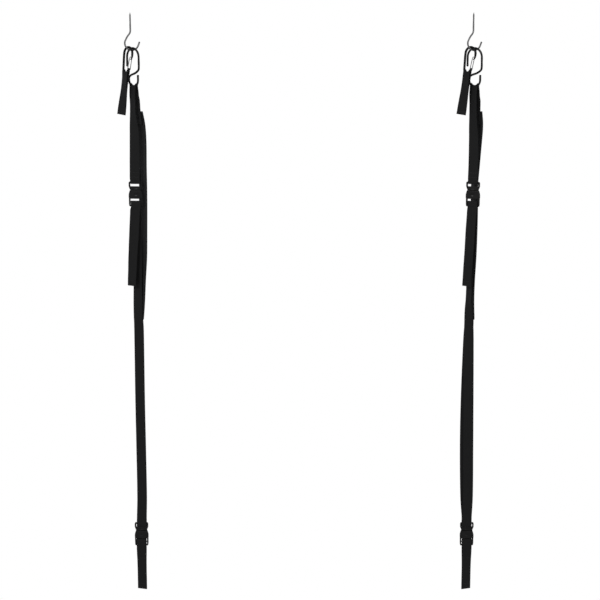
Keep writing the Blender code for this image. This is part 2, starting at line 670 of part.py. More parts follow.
def ladder_wrap(builder, name, place, body, shift, bend_z):
    """Webbing up behind the end bar, over the ladder bar and down in front."""
    radius = LADDER_BAR[1] + GAP + WEB_THICK / 2 + 0.22 * (bend_z - LADDER_BAR[0])
    clear = END_BAR[1] + GAP + WEB_THICK / 2 + 0.1
    sides = (shift - WEB_WIDTH / 2, shift, shift + WEB_WIDTH / 2)
    front = [[buckle_point(place, (side, -clear, z)) for side in sides] for z in (TAIL_START + 2.5, -57.0)]
    back = [[buckle_point(place, (side, clear, z)) for side in sides] for z in (-57.0, TAIL_START + 2.5)]
    over = wrap_rows(place, bend_z, radius, 0, 180, 6, shift)
    builder.sheet(name, front + over + back, WEB_THICK, body, "webbing")


def make_leg(builder):
    """Doubled lower webbing, one loop round the lower male's bar."""
    place = builder.data["lower_buckle"]
    shift = builder.data["lower_shift"]
    front = run_rows(builder.data["leg_front"], LEG_TOP, -1256.0, 10)
    back = run_rows(builder.data["leg_back"], LEG_TOP, -1256.0, 10)
    sides = (shift - WEB_WIDTH / 2, shift, shift + WEB_WIDTH / 2)
    fall = [[buckle_point(place, (side, -LOOP_RADIUS, BAR_Z)) for side in sides]]
    rise = [[buckle_point(place, (side, LOOP_RADIUS, BAR_Z)) for side in sides]]
    loop = wrap_rows(place, LOOP_Z, LOOP_RADIUS, 0, -180, 6, shift)
    rows = front + fall + loop + rise + list(reversed(back))
    builder.sheet("lower_webbing", rows, WEB_THICK, "lower_leg", "webbing")


def make_bottom_end(builder):
    """Folded webbing end below the lower female."""
    place = builder.data["lower_buckle"]
    shift = -builder.data["lower_shift"] * 0.6
    yaw = builder.data["end_yaw"]
    ladder_wrap(builder, "bottom_wrap", place, "lower_buckle_female", shift, SLACK_Z)
    base = place[3]
    rows = []
    for step, z in enumerate((TAIL_START - 0.8, -78.0, -96.0, -130.0, -165.0, -182.0)):
        t = smooth(min(1.0, step / 4))
        turned = (place[0], place[1], place[2], base + (yaw - base) * t)
        ply = 3.1 - 2.0 * smooth(min(1.0, step / 3))
        rows.append([buckle_point(turned, (shift + side, -ply, z)) for side in (-12.7, 0.0, 12.7)])
    hem = [buckle_point(turned, (shift + side, 0.0, -184.0)) for side in (-12.5, 0.0, 12.5)]
    middle = buckle_point(turned, (0.0, 0.0, 0.0))
    back = []
    for row, step in zip(reversed(rows), (5, 4, 3, 2, 1, 0)):
        t = smooth(min(1.0, step / 4))
        normal = yaw_direction(base + (yaw - base) * t - 90.0)
        back.append([point - 2 * normal * (point - middle).dot(normal) for point in row])
    builder.sheet("bottom_end", rows + [hem] + back, WEB_THICK, "bottom_end", "webbing")


def make_pivots(builder):
    """One empty on each joint's axis, nested as the bodies are."""
    upper = builder.data["upper_buckle"]
    lower = builder.data["lower_buckle"]
    frame = carabiner_matrix()
    bottom, lean = tab_frame()
    top = s_hook_top()
    leg = station(builder.data["leg_front"], -738.0)[0]
    builder.pivot("root", (0.0, 0.0, 0.0))
    builder.pivot("s_hook", bowl_point(S_X), "root")
    builder.pivot("carabiner", bowl_point(CARA_X), "root")
    builder.pivot("carabiner_gate", frame @ Vector((GATE_PIVOT[0], 0.0, GATE_PIVOT[1])), "carabiner")
    builder.pivot("tether_tab", bottom + lean * 8.8, "carabiner")
    builder.pivot("sling", (top.x, top.y, SLING_FLEX_Z), "s_hook")
    builder.pivot("lower_leg", (leg.x, leg.y + 1.1, LEG_FLEX_Z), "sling")
    for level, place, host in (("upper", upper, "sling"), ("lower", lower, "lower_leg")):
        for hand, sign in (("left", -1.0), ("right", 1.0)):
            root = buckle_point(place, (sign * ARM_PIVOT[0], 0.0, ARM_PIVOT[1]))
            builder.pivot(level + "_latch_arm_" + hand, root, host)
        builder.pivot(level + "_buckle_female", buckle_point(place, (0.0, 0.0, MOUTH_Z)), host)
    builder.pivot("adjuster_tail", buckle_point(upper, (0.0, -3.0, TAIL_START)), "upper_buckle_female")
    builder.pivot("bottom_end", buckle_point(lower, (0.0, 0.0, TAIL_START)), "lower_buckle_female")


def make_strap(side, parts, cutters):
    builder = Builder(side, parts, cutters)
    make_pivots(builder)
    make_screw_hook(builder)
    make_s_hook(builder)
    make_tab(builder, make_carabiner(builder))
    make_sling(builder)
    make_pad(builder)
    make_adjuster(builder)
    make_leg(builder)
    make_bottom_end(builder)
    for level, host in (("upper", "sling"), ("lower", "lower_leg")):
        place = builder.data[level + "_buckle"]
        male_half(builder, level, place, host)
        for hand, sign in (("left", -1.0), ("right", 1.0)):
            latch_arm(builder, level, place, hand, sign, level + "_latch_arm_" + hand)
        female_half(builder, level, place, level + "_buckle_female")


def main():
    clear_scene()
    parts = new_collection("tree_stand_straps")
    cutters = new_collection("cutters")
    for side in STRAPS:
        make_strap(side, parts, cutters)


main()
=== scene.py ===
"""Looks for a pair of padded webbing carrying straps, each hung from a screw hook.

Every piece is in metres in the part's own frame: +Z up, +X right, the front faces -Y.
Design tables are in millimetres, relative to the shank of the strap's screw hook.
"""

import math
import random

import bmesh
import bpy
from mathutils import Matrix, Vector


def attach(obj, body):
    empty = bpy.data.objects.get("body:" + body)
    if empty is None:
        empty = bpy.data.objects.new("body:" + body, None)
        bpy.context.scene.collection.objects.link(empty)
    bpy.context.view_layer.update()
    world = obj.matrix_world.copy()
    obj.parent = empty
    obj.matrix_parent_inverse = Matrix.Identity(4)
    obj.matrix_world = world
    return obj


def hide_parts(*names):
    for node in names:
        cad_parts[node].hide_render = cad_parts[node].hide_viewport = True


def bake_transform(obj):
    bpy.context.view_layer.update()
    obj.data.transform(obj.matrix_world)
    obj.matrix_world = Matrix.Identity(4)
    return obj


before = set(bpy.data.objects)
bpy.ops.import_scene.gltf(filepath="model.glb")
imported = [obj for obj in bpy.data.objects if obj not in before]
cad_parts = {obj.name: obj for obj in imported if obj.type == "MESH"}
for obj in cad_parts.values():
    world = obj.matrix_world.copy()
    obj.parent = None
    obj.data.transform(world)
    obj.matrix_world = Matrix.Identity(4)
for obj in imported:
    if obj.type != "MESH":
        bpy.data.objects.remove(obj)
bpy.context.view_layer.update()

MM = 0.001
HOOK_PITCH = 0.842
GAP = 0.3
WEB_WIDTH = 25.4
WEB_THICK = 1.4
HANG_YAW = 45.0

SCREW_YAW = -20.0
SCREW_WIRE = 2.05
SCREW_THREAD = 33.5
THREAD_PITCH = 2.3
BOWL_CENTRE = (3.0, -41.0)
BOWL_RADIUS = 17.5
BOWL_END_ANGLE = -25.0
BOWL_TIP = (22.6, -38.7)

S_WIRE = 2.6
S_X = 4.8
S_TOP_RADIUS = 22.3
S_LOW_RADIUS = 17.2
S_LOW_CENTRE = (1.1, -130.5)
S_TIP_LENGTH = 22.0

CARA_ROD = 2.9
CARA_X = -3.2
CARA_CONTACT = 2.0
CARA_LEAN = 5.4
CARA_TOP_RADIUS = 15.6
CARA_LOW_RADIUS = 10.5
CARA_LOW_CENTRE = (-4.0, -53.7)
GATE_WIRE = 1.0
GATE_PIVOT = (6.4, -54.9)
GATE_TOP = (11.0, -23.6)
TAB_LENGTH = 101.0
TAB_YAW = (57.0, 32.0)
TAB_LEAN = 7.4

BUCKLE_HALF = 17.5
SLOT_HALF = 14.0
BAR_Z = -2.6
BAR_RADIUS = 2.3
MALE_THICK = 5.5
MALE_END = -21.5
MOUTH_Z = -22.0
POCKET_END = -41.5
LADDER_BAR = (-51.6, 1.6)
END_BAR = (-60.8, 2.0)
RECEIVER_THICK = 10.0
POCKET_DEPTH = 6.4
POCKET_HALF = 13.2
ARM_THICK = 4.5
ARM_PIVOT = (10.3, -23.9)
TAIL_START = -66.5
LOOP_Z = -7.6
LOOP_RADIUS = 3.7
SLACK_Z = -48.4

PAD_TOP = -208.0
PAD_END = -733.0
PAD_HALF_THICK = 2.9
PAD_RIM = 1.6                 # the binding stands this much outside the pad's cut width
BINDING_LAP = 5.0
BINDING_THICK = 0.7
SLING_FLEX_Z = -166.0
LEG_FLEX_Z = -735.6

# Rows are (height, x, y, yaw in degrees, width). They follow the CAD source, with two exceptions.
# The left strap's front run and pad are turned by 2 to 8 degrees, the run shifted by under 1 mm.
# The legs begin 10 mm higher, where they take over the twist of the load run.
STRAPS = {
    "left": {
        "side": -1.0,
        "upper_buckle": (6.6, -7.0, -381.6, 5.0),
        "lower_buckle": (4.0, -3.0, -1272.5, 4.0),
        "lower_shift": 0.9,
        "front": [(-168, 1.7, -1.2, 52, 24.8), (-200, 2.6, -2.4, 54, 25.4),
                  (-225, 2.9, -3.6, 46, 25.4),
                  (-255, 5.2, -5.2, 24, 25.4), (-290, 5.6, -7.0, 14, 25.4),
                  (-340, 5.2, -9.0, 6, 25.4),
                  (-374, 4.9, -10.2, 5, 25.4)],
        "back": [(-168, 10.4, 4.4, 52, 24.8), (-180, 12.6, 4.0, 52, 25.4),
                 (-206, 14.3, 2.4, 53, 25.4),
                 (-240, 18.1, 3.1, 55, 25.4)],
        "pad": [(-208, 17.8, 4.9, 50, 25), (-240, 21.6, 5.5, 50, 31), (-284, 23.6, 6.0, 56, 38),
                (-344, 23.6, 6.6, 59, 40), (-404, 23.6, 7.0, 59, 40), (-450, 22.8, 7.0, 58, 40),
                (-510, 21.7, 6.0, 58, 40), (-571, 17.3, 4.0, 48, 40), (-633, 11.6, 1.7, 39, 38),
                (-679, 9.5, 0.5, 34, 34), (-710, 8.3, -0.7, 30, 30), (-733, 7.4, -1.5, 26, 26)],
        "load": [(-447.5, 5.5, -4.0, 5, 25.4), (-510, 5.8, -4.2, 10, 25.4),
                 (-571, 6.5, -5.0, 16, 25.4),
                 (-633, 7.0, -5.6, 28, 25.4), (-690, 6.9, -3.6, 32, 25.4),
                 (-733, 5.7, -5.4, 26, 25.4)],
        "tail": [(-449, 4.6, -10.0, 5, 25.4), (-510, 0.7, -12.0, 12, 25.4),
                 (-571, -3.4, -13.0, 22, 25.4),
                 (-644, -7.6, -13.4, 33, 25.4)],
        "leg_front": [(-728, 5.9, -5.2, 26, 25.4), (-742, 6.6, -3.9, 21, 25.4),
                      (-765, 7.2, -3.0, 14, 25.4),
                      (-945, 6.8, -4.2, 10, 25.4), (-1073, 7.1, -4.2, 8, 25.4),
                      (-1202, 7.1, -4.4, 6, 25.4),
                      (-1256, 5.4, -5.6, 4, 25.4)],
        "leg_back": [(-728, 7.6, -1.4, 24, 24.6), (-742, 7.6, -1.2, 20, 25.2),
                     (-765, 7.6, -0.9, 14, 25.4),
                     (-945, 6.8, -1.6, 10, 25.4), (-1073, 7.1, -1.6, 8, 25.4),
                     (-1202, 7.1, -1.6, 6, 25.4),
                     (-1256, 5.4, -0.4, 4, 25.4)],
        "end_yaw": 18.0,
    },
    "right": {
        "side": 1.0,
        "upper_buckle": (5.8, -12.0, -381.6, 25.0),
        "lower_buckle": (8.6, -3.0, -1272.5, -3.0),
        "lower_shift": -0.9,
        "front": [(-168, 1.7, -1.2, 52, 24.8), (-200, 2.4, -3.0, 54, 25.4),
                  (-225, 2.5, -4.8, 50, 25.4),
                  (-255, 3.9, -7.6, 40, 25.4), (-290, 5.0, -10.4, 30, 25.4),
                  (-340, 4.9, -13.4, 26, 25.4),
                  (-374, 4.2, -15.0, 25, 25.4)],
        "back": [(-168, 10.4, 4.4, 52, 24.8), (-180, 12.4, 4.6, 52, 25.4),
                 (-206, 12.9, 3.8, 53, 25.4),
                 (-240, 14.6, 5.4, 56, 25.4)],
        "pad": [(-208, 16.4, 6.2, 52, 25), (-240, 18.0, 7.8, 56, 31), (-284, 16.7, 10.5, 66, 38),
                (-344, 14.7, 13.5, 73, 40), (-404, 12.0, 15.5, 75, 40), (-450, 12.7, 15.0, 73, 40),
                (-510, 11.3, 12.5, 70, 40), (-571, 9.1, 9.0, 68, 40), (-633, 6.3, 5.2, 67, 38),
                (-679, 5.6, 2.6, 64, 34), (-710, 5.3, 0.3, 55, 30), (-733, 4.6, -1.5, 38, 26)],
        "load": [(-447.5, 6.7, -9.3, 25, 25.4), (-510, 6.2, -8.6, 30, 25.4),
                 (-571, 5.0, -8.2, 40, 25.4),
                 (-633, 2.8, -3.8, 58, 25.4), (-690, 1.4, -1.2, 60, 25.4),
                 (-733, 1.9, -5.6, 38, 25.4)],
        "tail": [(-449, 3.9, -14.8, 25, 25.4), (-510, 0.3, -17.0, 29, 25.4),
                 (-571, -2.6, -18.0, 33, 25.4),
                 (-644, -6.3, -18.4, 35, 25.4)],
        "leg_front": [(-728, 1.8, -5.2, 40, 25.4), (-742, 2.8, -4.2, 31, 25.4),
                      (-788, 3.8, -3.4, 17, 25.4),
                      (-945, 6.2, -4.6, 8, 25.4), (-1073, 8.2, -4.8, 4, 25.4),
                      (-1202, 9.8, -4.8, 0, 25.4),
                      (-1256, 8.0, -5.8, -3, 25.4)],
        "leg_back": [(-728, 4.4, -1.6, 38, 24.6), (-742, 3.9, -1.2, 31, 25.2),
                     (-788, 2.2, -0.4, 20, 25.4),
                     (-945, -0.8, -0.4, 14, 25.4), (-1073, -0.6, -0.6, 10, 25.4),
                     (-1202, 3.0, -1.0, 4, 25.4),
                     (-1256, 7.2, -0.6, -3, 25.4)],
        "end_yaw": -20.0,
    },
}


def make_camera():
    data = bpy.data.cameras.new("camera")
    data.lens = 96.5
    data.sensor_width = 36.0
    camera = bpy.data.objects.new("camera", data)
    camera.location = (-0.00455, -4.0, 0.0933)
    camera.rotation_euler = (math.radians(79.0), 0.0, 0.0)
    bpy.context.scene.collection.objects.link(camera)
    bpy.context.scene.camera = camera


# ---------------------------------------------------------------- materials

class Nodes:
    """Short forms for building one node material."""

    def __init__(self, name):
        self.material = bpy.data.materials.new(name)
        self.material.use_nodes = True
        self.tree = self.material.node_tree
        self.shader = self.tree.nodes["Principled BSDF"]

    def new(self, kind, **values):
        node = self.tree.nodes.new(kind)
        for key, value in values.items():
            if hasattr(node, key):
                setattr(node, key, value)
            else:
                node.inputs[key.replace("_", " ").title()].default_value = value
        return node

    def link(self, source, target):
        self.tree.links.new(source, target)

    def math(self, operation, a, b=None, c=None):
        node = self.tree.nodes.new("ShaderNodeMath")
        node.operation = operation
        for index, value in enumerate((a, b, c)):
            if value is None:
                continue
            if isinstance(value, (int, float)):
                node.inputs[index].default_value = value
            else:
                self.link(value, node.inputs[index])
        return node.outputs[0]

    def noise(self, vector, scale, detail=3.0, roughness=0.55):
        node = self.tree.nodes.new("ShaderNodeTexNoise")
        node.inputs["Scale"].default_value = scale
        node.inputs["Detail"].default_value = detail
        node.inputs["Roughness"].default_value = roughness
        self.link(vector, node.inputs["Vector"])
        return node.outputs["Fac"]

    def place(self):
        return self.new("ShaderNodeTexCoord").outputs["Object"]

    def ramp(self, factor, low, high, start=0.0, end=1.0):
        node = self.tree.nodes.new("ShaderNodeValToRGB")
        node.color_ramp.elements[0].position = start
        node.color_ramp.elements[1].position = end
        node.color_ramp.elements[0].color = (*low, 1.0)
        node.color_ramp.elements[1].color = (*high, 1.0)
        self.link(factor, node.inputs["Fac"])
        return node.outputs["Color"]

    def spread(self, factor, low, high):
        node = self.tree.nodes.new("ShaderNodeMapRange")
        node.inputs["To Min"].default_value = low
        node.inputs["To Max"].default_value = high
        self.link(factor, node.inputs["Value"])
        return node.outputs["Result"]

    def bump(self, height, distance, strength=1.0):
        node = self.tree.nodes.new("ShaderNodeBump")
        node.inputs["Distance"].default_value = distance
        node.inputs["Strength"].default_value = strength
        self.link(height, node.inputs["Height"])
        self.link(node.outputs["Normal"], self.shader.inputs["Normal"])

    def set(self, **values):
        for key, value in values.items():
            name = key.replace("_", " ").title().replace("Ior", "IOR")
            self.shader.inputs[name].default_value = value
        return self.material


def woven(name, along, across, low, high, rough, edge=None, depth=0.00022, sheen=0.25):
    """Plain weave: picks of one pitch along the strip, warp ends of another across it."""
    n = Nodes(name)
    strip = n.new("ShaderNodeAttribute", attribute_name="strip")
    parts = n.new("ShaderNodeSeparateXYZ")
    n.link(strip.outputs["Vector"], parts.inputs[0])
    u, s = parts.outputs["X"], parts.outputs["Y"]
    wander = n.noise(n.place(), 90.0, 2.0)
    s = n.math("ADD", s, n.math("MULTIPLY", wander, along * 0.35))
    pick = n.math("DIVIDE", s, along)
    row = n.math("FLOOR", pick)
    half = n.math("MULTIPLY", n.math("MODULO", row, 2.0), 0.5)
    end = n.math("ADD", n.math("DIVIDE", u, across), half)
    rib = n.math("ABSOLUTE", n.math("SINE", n.math("MULTIPLY", pick, math.pi)))
    yarn = n.math("ABSOLUTE", n.math("SINE", n.math("MULTIPLY", end, math.pi)))
    height = n.math("MULTIPLY", n.math("POWER", rib, 0.6),
                    n.math("ADD", n.math("MULTIPLY", yarn, 0.55), 0.45))
    fibre = n.noise(n.place(), 2600.0, 2.0, 0.7)
    height = n.math("ADD", height, n.math("MULTIPLY", fibre, 0.25))
    if edge:
        border = n.math("GREATER_THAN", n.math("ABSOLUTE", u), edge)
        line = n.math("ABSOLUTE", n.math("SINE",
                                         n.math("MULTIPLY", n.math("DIVIDE", s, along * 0.6),
                                                math.pi)))
        height = n.math("ADD", n.math("MULTIPLY", height, n.math("SUBTRACT", 1.0, border)),
                        n.math("MULTIPLY", border, line))
    cloud = n.noise(n.place(), 14.0, 4.0)
    # Base colour: random tone from cloud, plus painted shade from the weave height, raised yarns lighter and valleys
    # darker
    weave_shade_and_tone = n.math("ADD", n.math("MULTIPLY", height, 0.55), n.math("MULTIPLY", cloud, 0.55))
    n.link(n.ramp(weave_shade_and_tone, low, high, 0.15, 1.0), n.shader.inputs["Base Color"])
    n.link(n.spread(height, rough + 0.08, rough - 0.08), n.shader.inputs["Roughness"])
    n.bump(height, depth)
    return n.set(sheen_weight=sheen, sheen_roughness=0.45, sheen_tint=(0.6, 0.6, 0.65, 1.0))


def moulded_plastic():
    n = Nodes("acetal_plastic")
    place = n.place()
    grain = n.noise(place, 2400.0, 3.0, 0.6)
    cloud = n.noise(place, 60.0, 3.0)
    n.link(n.ramp(cloud, (0.0085, 0.0085, 0.009), (0.017, 0.017, 0.0175), 0.3, 0.75),
           n.shader.inputs["Base Color"])
    n.link(n.spread(cloud, 0.34, 0.5), n.shader.inputs["Roughness"])
    n.bump(grain, 0.00004, 0.6)
    return n.set(ior=1.48)


def zinc_steel():
    n = Nodes("zinc_plated_steel")
    place = n.place()
    blot = n.noise(place, 260.0, 5.0, 0.65)
    fine = n.noise(place, 3000.0, 2.0)
    n.link(n.ramp(blot, (0.26, 0.26, 0.265), (0.44, 0.44, 0.445), 0.3, 0.7),
           n.shader.inputs["Base Color"])
    n.link(n.spread(blot, 0.36, 0.6), n.shader.inputs["Roughness"])
    n.bump(fine, 0.00003, 0.5)
    return n.set(metallic=0.85)


def dipped_vinyl():
    n = Nodes("dipped_vinyl")
    place = n.place()
    runs = n.noise(place, 120.0, 2.0)
    dust = n.noise(place, 900.0, 4.0, 0.7)
    n.link(n.ramp(dust, (0.008, 0.008, 0.009), (0.022, 0.022, 0.023), 0.4, 0.8),
           n.shader.inputs["Base Color"])
    n.link(n.spread(dust, 0.26, 0.42), n.shader.inputs["Roughness"])
    n.bump(runs, 0.0004, 0.35)
    return n.set(ior=1.5)


def black_alloy():
    n = Nodes("anodised_alloy")
    place = n.place()
    rub = n.noise(place, 420.0, 5.0, 0.7)
    n.link(n.ramp(rub, (0.009, 0.009, 0.010), (0.035, 0.035, 0.037), 0.55, 0.9),
           n.shader.inputs["Base Color"])
    n.link(n.spread(rub, 0.3, 0.48), n.shader.inputs["Roughness"])
    n.bump(n.noise(place, 2600.0, 2.0), 0.00003, 0.5)
    return n.set(metallic=0.35)


def bright_wire():
    n = Nodes("stainless_wire")
    place = n.place()
    drawn = n.noise(place, 1500.0, 3.0)
    n.link(n.ramp(drawn, (0.52, 0.52, 0.53), (0.74, 0.74, 0.75), 0.3, 0.7),
           n.shader.inputs["Base Color"])
    n.link(n.spread(drawn, 0.18, 0.34), n.shader.inputs["Roughness"])
    n.bump(drawn, 0.00002, 0.4)
    return n.set(metallic=1.0)


def sewing_thread():
    n = Nodes("bonded_thread")
    place = n.place()
    twist = n.noise(place, 3800.0, 2.0)
    n.link(n.ramp(twist, (0.012, 0.012, 0.013), (0.034, 0.034, 0.036)),
           n.shader.inputs["Base Color"])
    n.link(n.spread(twist, 0.5, 0.7), n.shader.inputs["Roughness"])
    n.bump(twist, 0.00005, 0.6)
    return n.set(sheen_weight=0.2)


BACKDROP_GLOW = 1.0


def stage_white():
    material = bpy.data.materials.new("stage_white")
    material.use_nodes = True
    nodes = material.node_tree.nodes
    nodes.clear()
    glow = nodes.new("ShaderNodeEmission")
    glow.inputs["Color"].default_value = (1.0, 1.0, 1.0, 1.0)
    glow.inputs["Strength"].default_value = BACKDROP_GLOW
    out = nodes.new("ShaderNodeOutputMaterial")
    material.node_tree.links.new(glow.outputs[0], out.inputs[0])
    return material


MATERIALS = {
    "webbing": woven("nylon_webbing", 0.00125, 0.00095, (0.0042, 0.0042, 0.0045),
                     (0.0125, 0.0125, 0.013), 0.78,
                     edge=0.0114),
    "packcloth": woven("nylon_packcloth", 0.0007, 0.00062, (0.0042, 0.0042, 0.0045),
                       (0.0115, 0.0115, 0.012), 0.84,
                       depth=0.00012, sheen=0.3),
    "tape": woven("binding_tape", 0.0006, 0.0008, (0.0046, 0.0046, 0.005), (0.0135, 0.0135, 0.014),
                  0.74,
                  depth=0.00015),
    "plastic": moulded_plastic(),
    "zinc": zinc_steel(),
    "vinyl": dipped_vinyl(),
    "alloy": black_alloy(),
    "gate": bright_wire(),
    "thread": sewing_thread(),
}


# ---------------------------------------------------------------- shared shape code

def smooth(t):
    return t * t * (3.0 - 2.0 * t)


def yaw_direction(yaw):
    return Vector((math.cos(math.radians(yaw)), -math.sin(math.radians(yaw)), 0.0))


def arc(centre, radius, start, end, steps):
    points = []
    for step in range(steps + 1):
        angle = math.radians(start + (end - start) * step / steps)
        points.append((centre[0] + radius * math.cos(angle), centre[1] + radius * math.sin(angle)))
    return points


def station(table, z):
    """Centre, yaw and width of a run at height z, smoothly between its table rows."""
    rows = sorted(table, key=lambda row: -row[0])
    z = min(max(z, rows[-1][0]), rows[0][0])
    for index in range(len(rows) - 1):
        upper = rows[index]
        lower = rows[index + 1]
        if z >= lower[0]:
            break
    before = rows[max(index - 1, 0)]
    after = rows[min(index + 2, len(rows) - 1)]
    span = upper[0] - lower[0]
    t = (upper[0] - z) / span
    values = []
    for column in range(1, 5):
        slope_in = (lower[column] - before[column]) * span / max(before[0] - lower[0], span)
        slope_out = (after[column] - upper[column]) * span / max(upper[0] - after[0], span)
        values.append((2 * t ** 3 - 3 * t ** 2 + 1) * upper[column]
                      + (t ** 3 - 2 * t ** 2 + t) * slope_in
                      + (3 * t ** 2 - 2 * t ** 3) * lower[column]
                      + (t ** 3 - t ** 2) * slope_out)
    x, y, yaw, width = values
    return Vector((x, y, z)), yaw, width


def run_rows(table, start, end, count, across=4):
    rows = []
    for step in range(count + 1):
        centre, yaw, width = station(table, start + (end - start) * step / count)
        direction = yaw_direction(yaw)
        rows.append([centre + direction * width * (index / across - 0.5) for index in range(across + 1)])
    return rows


def buckle_point(place, local):
    x, y, z, yaw = place
    return (Vector((x, y, z)) + yaw_direction(yaw) * local[0] + yaw_direction(yaw - 90.0) * local[1]
            + Vector((0.0, 0.0, local[2])))


def buckle_row(place, y, z, shift=0.0, across=4):
    return [buckle_point(place, (shift + WEB_WIDTH * (index / across - 0.5), y,
                                 z)) for index in range(across + 1)]


def wrap_rows(place, z, radius, start, end, steps, shift=0.0):
    """Rows of webbing round a buckle bar, angles in degrees from the front over the top."""
    rows = []
    for step in range(steps + 1):
        angle = math.radians(start + (end - start) * step / steps)
        rows.append(buckle_row(place, -radius * math.cos(angle), z + radius * math.sin(angle),
                               shift))
    return rows


def saddle_rows(centre, u_dir, n_dir, down, bend, wire, steps=10, across=4):
    """Rows of webbing gathered over the inside of a bent wire, front side first."""
    lift = wire + GAP + WEB_THICK / 2
    rows = []
    for step in range(steps + 1):
        turn = math.pi * (step / steps - 0.5)
        reach = bend - lift * math.cos(turn)
        spread = min(WEB_WIDTH / 2 / reach, math.radians(80))
        row = []
        for index in range(across + 1):
            angle = spread * (2 * index / across - 1)
            point = centre + u_dir * reach * math.sin(angle) + down * reach * math.cos(angle)
            row.append(point + n_dir * lift * math.sin(turn))
        rows.append(row)
    return rows


def blended_rows(curved, flat, count):
    rows = []
    for step in range(1, count + 1):
        t = step / count
        rows.append([a.lerp(b, smooth(t)) for a, b in zip(curved, flat)])
        for point, high, low in zip(rows[-1], curved, flat):
            point.z = high.z + (low.z - high.z) * t
    return rows


def bowl_point(x):
    across = yaw_direction(SCREW_YAW)
    u = x / across.x
    z = BOWL_CENTRE[1] - math.sqrt(BOWL_RADIUS ** 2 - (u - BOWL_CENTRE[0]) ** 2)
    return across * u + Vector((0.0, 0.0, z))


def s_hook_top():
    return bowl_point(S_X) + Vector((0.0, 0.0, SCREW_WIRE + S_WIRE + GAP))


def carabiner_matrix():
    wire = bowl_point(CARA_X)
    drop = CARA_TOP_RADIUS - math.sqrt(CARA_TOP_RADIUS ** 2 - CARA_CONTACT ** 2)
    top = wire + Vector((0.0, 0.0, (SCREW_WIRE + CARA_ROD + GAP) * 1.16 + drop))
    lean = Matrix.Rotation(math.radians(CARA_LEAN), 4, yaw_direction(SCREW_YAW - 90.0))
    yaw = Matrix.Rotation(math.radians(-HANG_YAW), 4, "Z")
    return Matrix.Translation(top) @ lean @ yaw @ Matrix.Translation((-CARA_CONTACT, 0.0, 0.0))


def tab_frame():
    matrix = carabiner_matrix()
    down = matrix.to_3x3() @ Vector((0.0, 0.0, -1.0))
    centre = matrix @ Vector((CARA_LOW_CENTRE[0], 0.0, CARA_LOW_CENTRE[1]))
    angle = math.radians(TAB_LEAN)
    return centre + down * (CARA_LOW_RADIUS + CARA_ROD), Vector((-math.sin(angle), 0.0,
                                                                 -math.cos(angle)))


def tab_row(bottom, lean, distance, ply, t):
    across = yaw_direction(TAB_YAW[0] + (TAB_YAW[1] - TAB_YAW[0]) * smooth(t))
    across = (across - lean * across.dot(lean)).normalized()
    normal = lean.cross(across)
    if normal.y < 0.0:
        normal = -normal
    middle = bottom + lean * distance + normal * ply
    return [middle + across * WEB_WIDTH * (index / 4 - 0.5) for index in range(5)]


def hermite(points, places, wanted):
    """Values at the wanted distances on a smooth curve through points at the given distances."""
    last = len(points) - 1
    slopes = []
    for index in range(len(points)):
        low, high = max(index - 1, 0), min(index + 1, last)
        slopes.append((points[high] - points[low]) / (places[high] - places[low]))
    result = []
    index = 0
    for place in wanted:
        while index < last - 1 and place > places[index + 1]:
            index += 1
        span = places[index + 1] - places[index]
        t = (place - places[index]) / span
        result.append(points[index] * (2 * t ** 3 - 3 * t ** 2 + 1) + slopes[index] * span * (t ** 3 - 2 * t ** 2 + t)
                      + points[index + 1] * (3 * t ** 2 - 2 * t ** 3) + slopes[index + 1] * span * (t ** 3 - t ** 2))
    return result


def distances(points):
    places = [0.0]
    for a, b in zip(points, points[1:]):
        places.append(places[-1] + max((b - a).length, 1e-4))
    return places


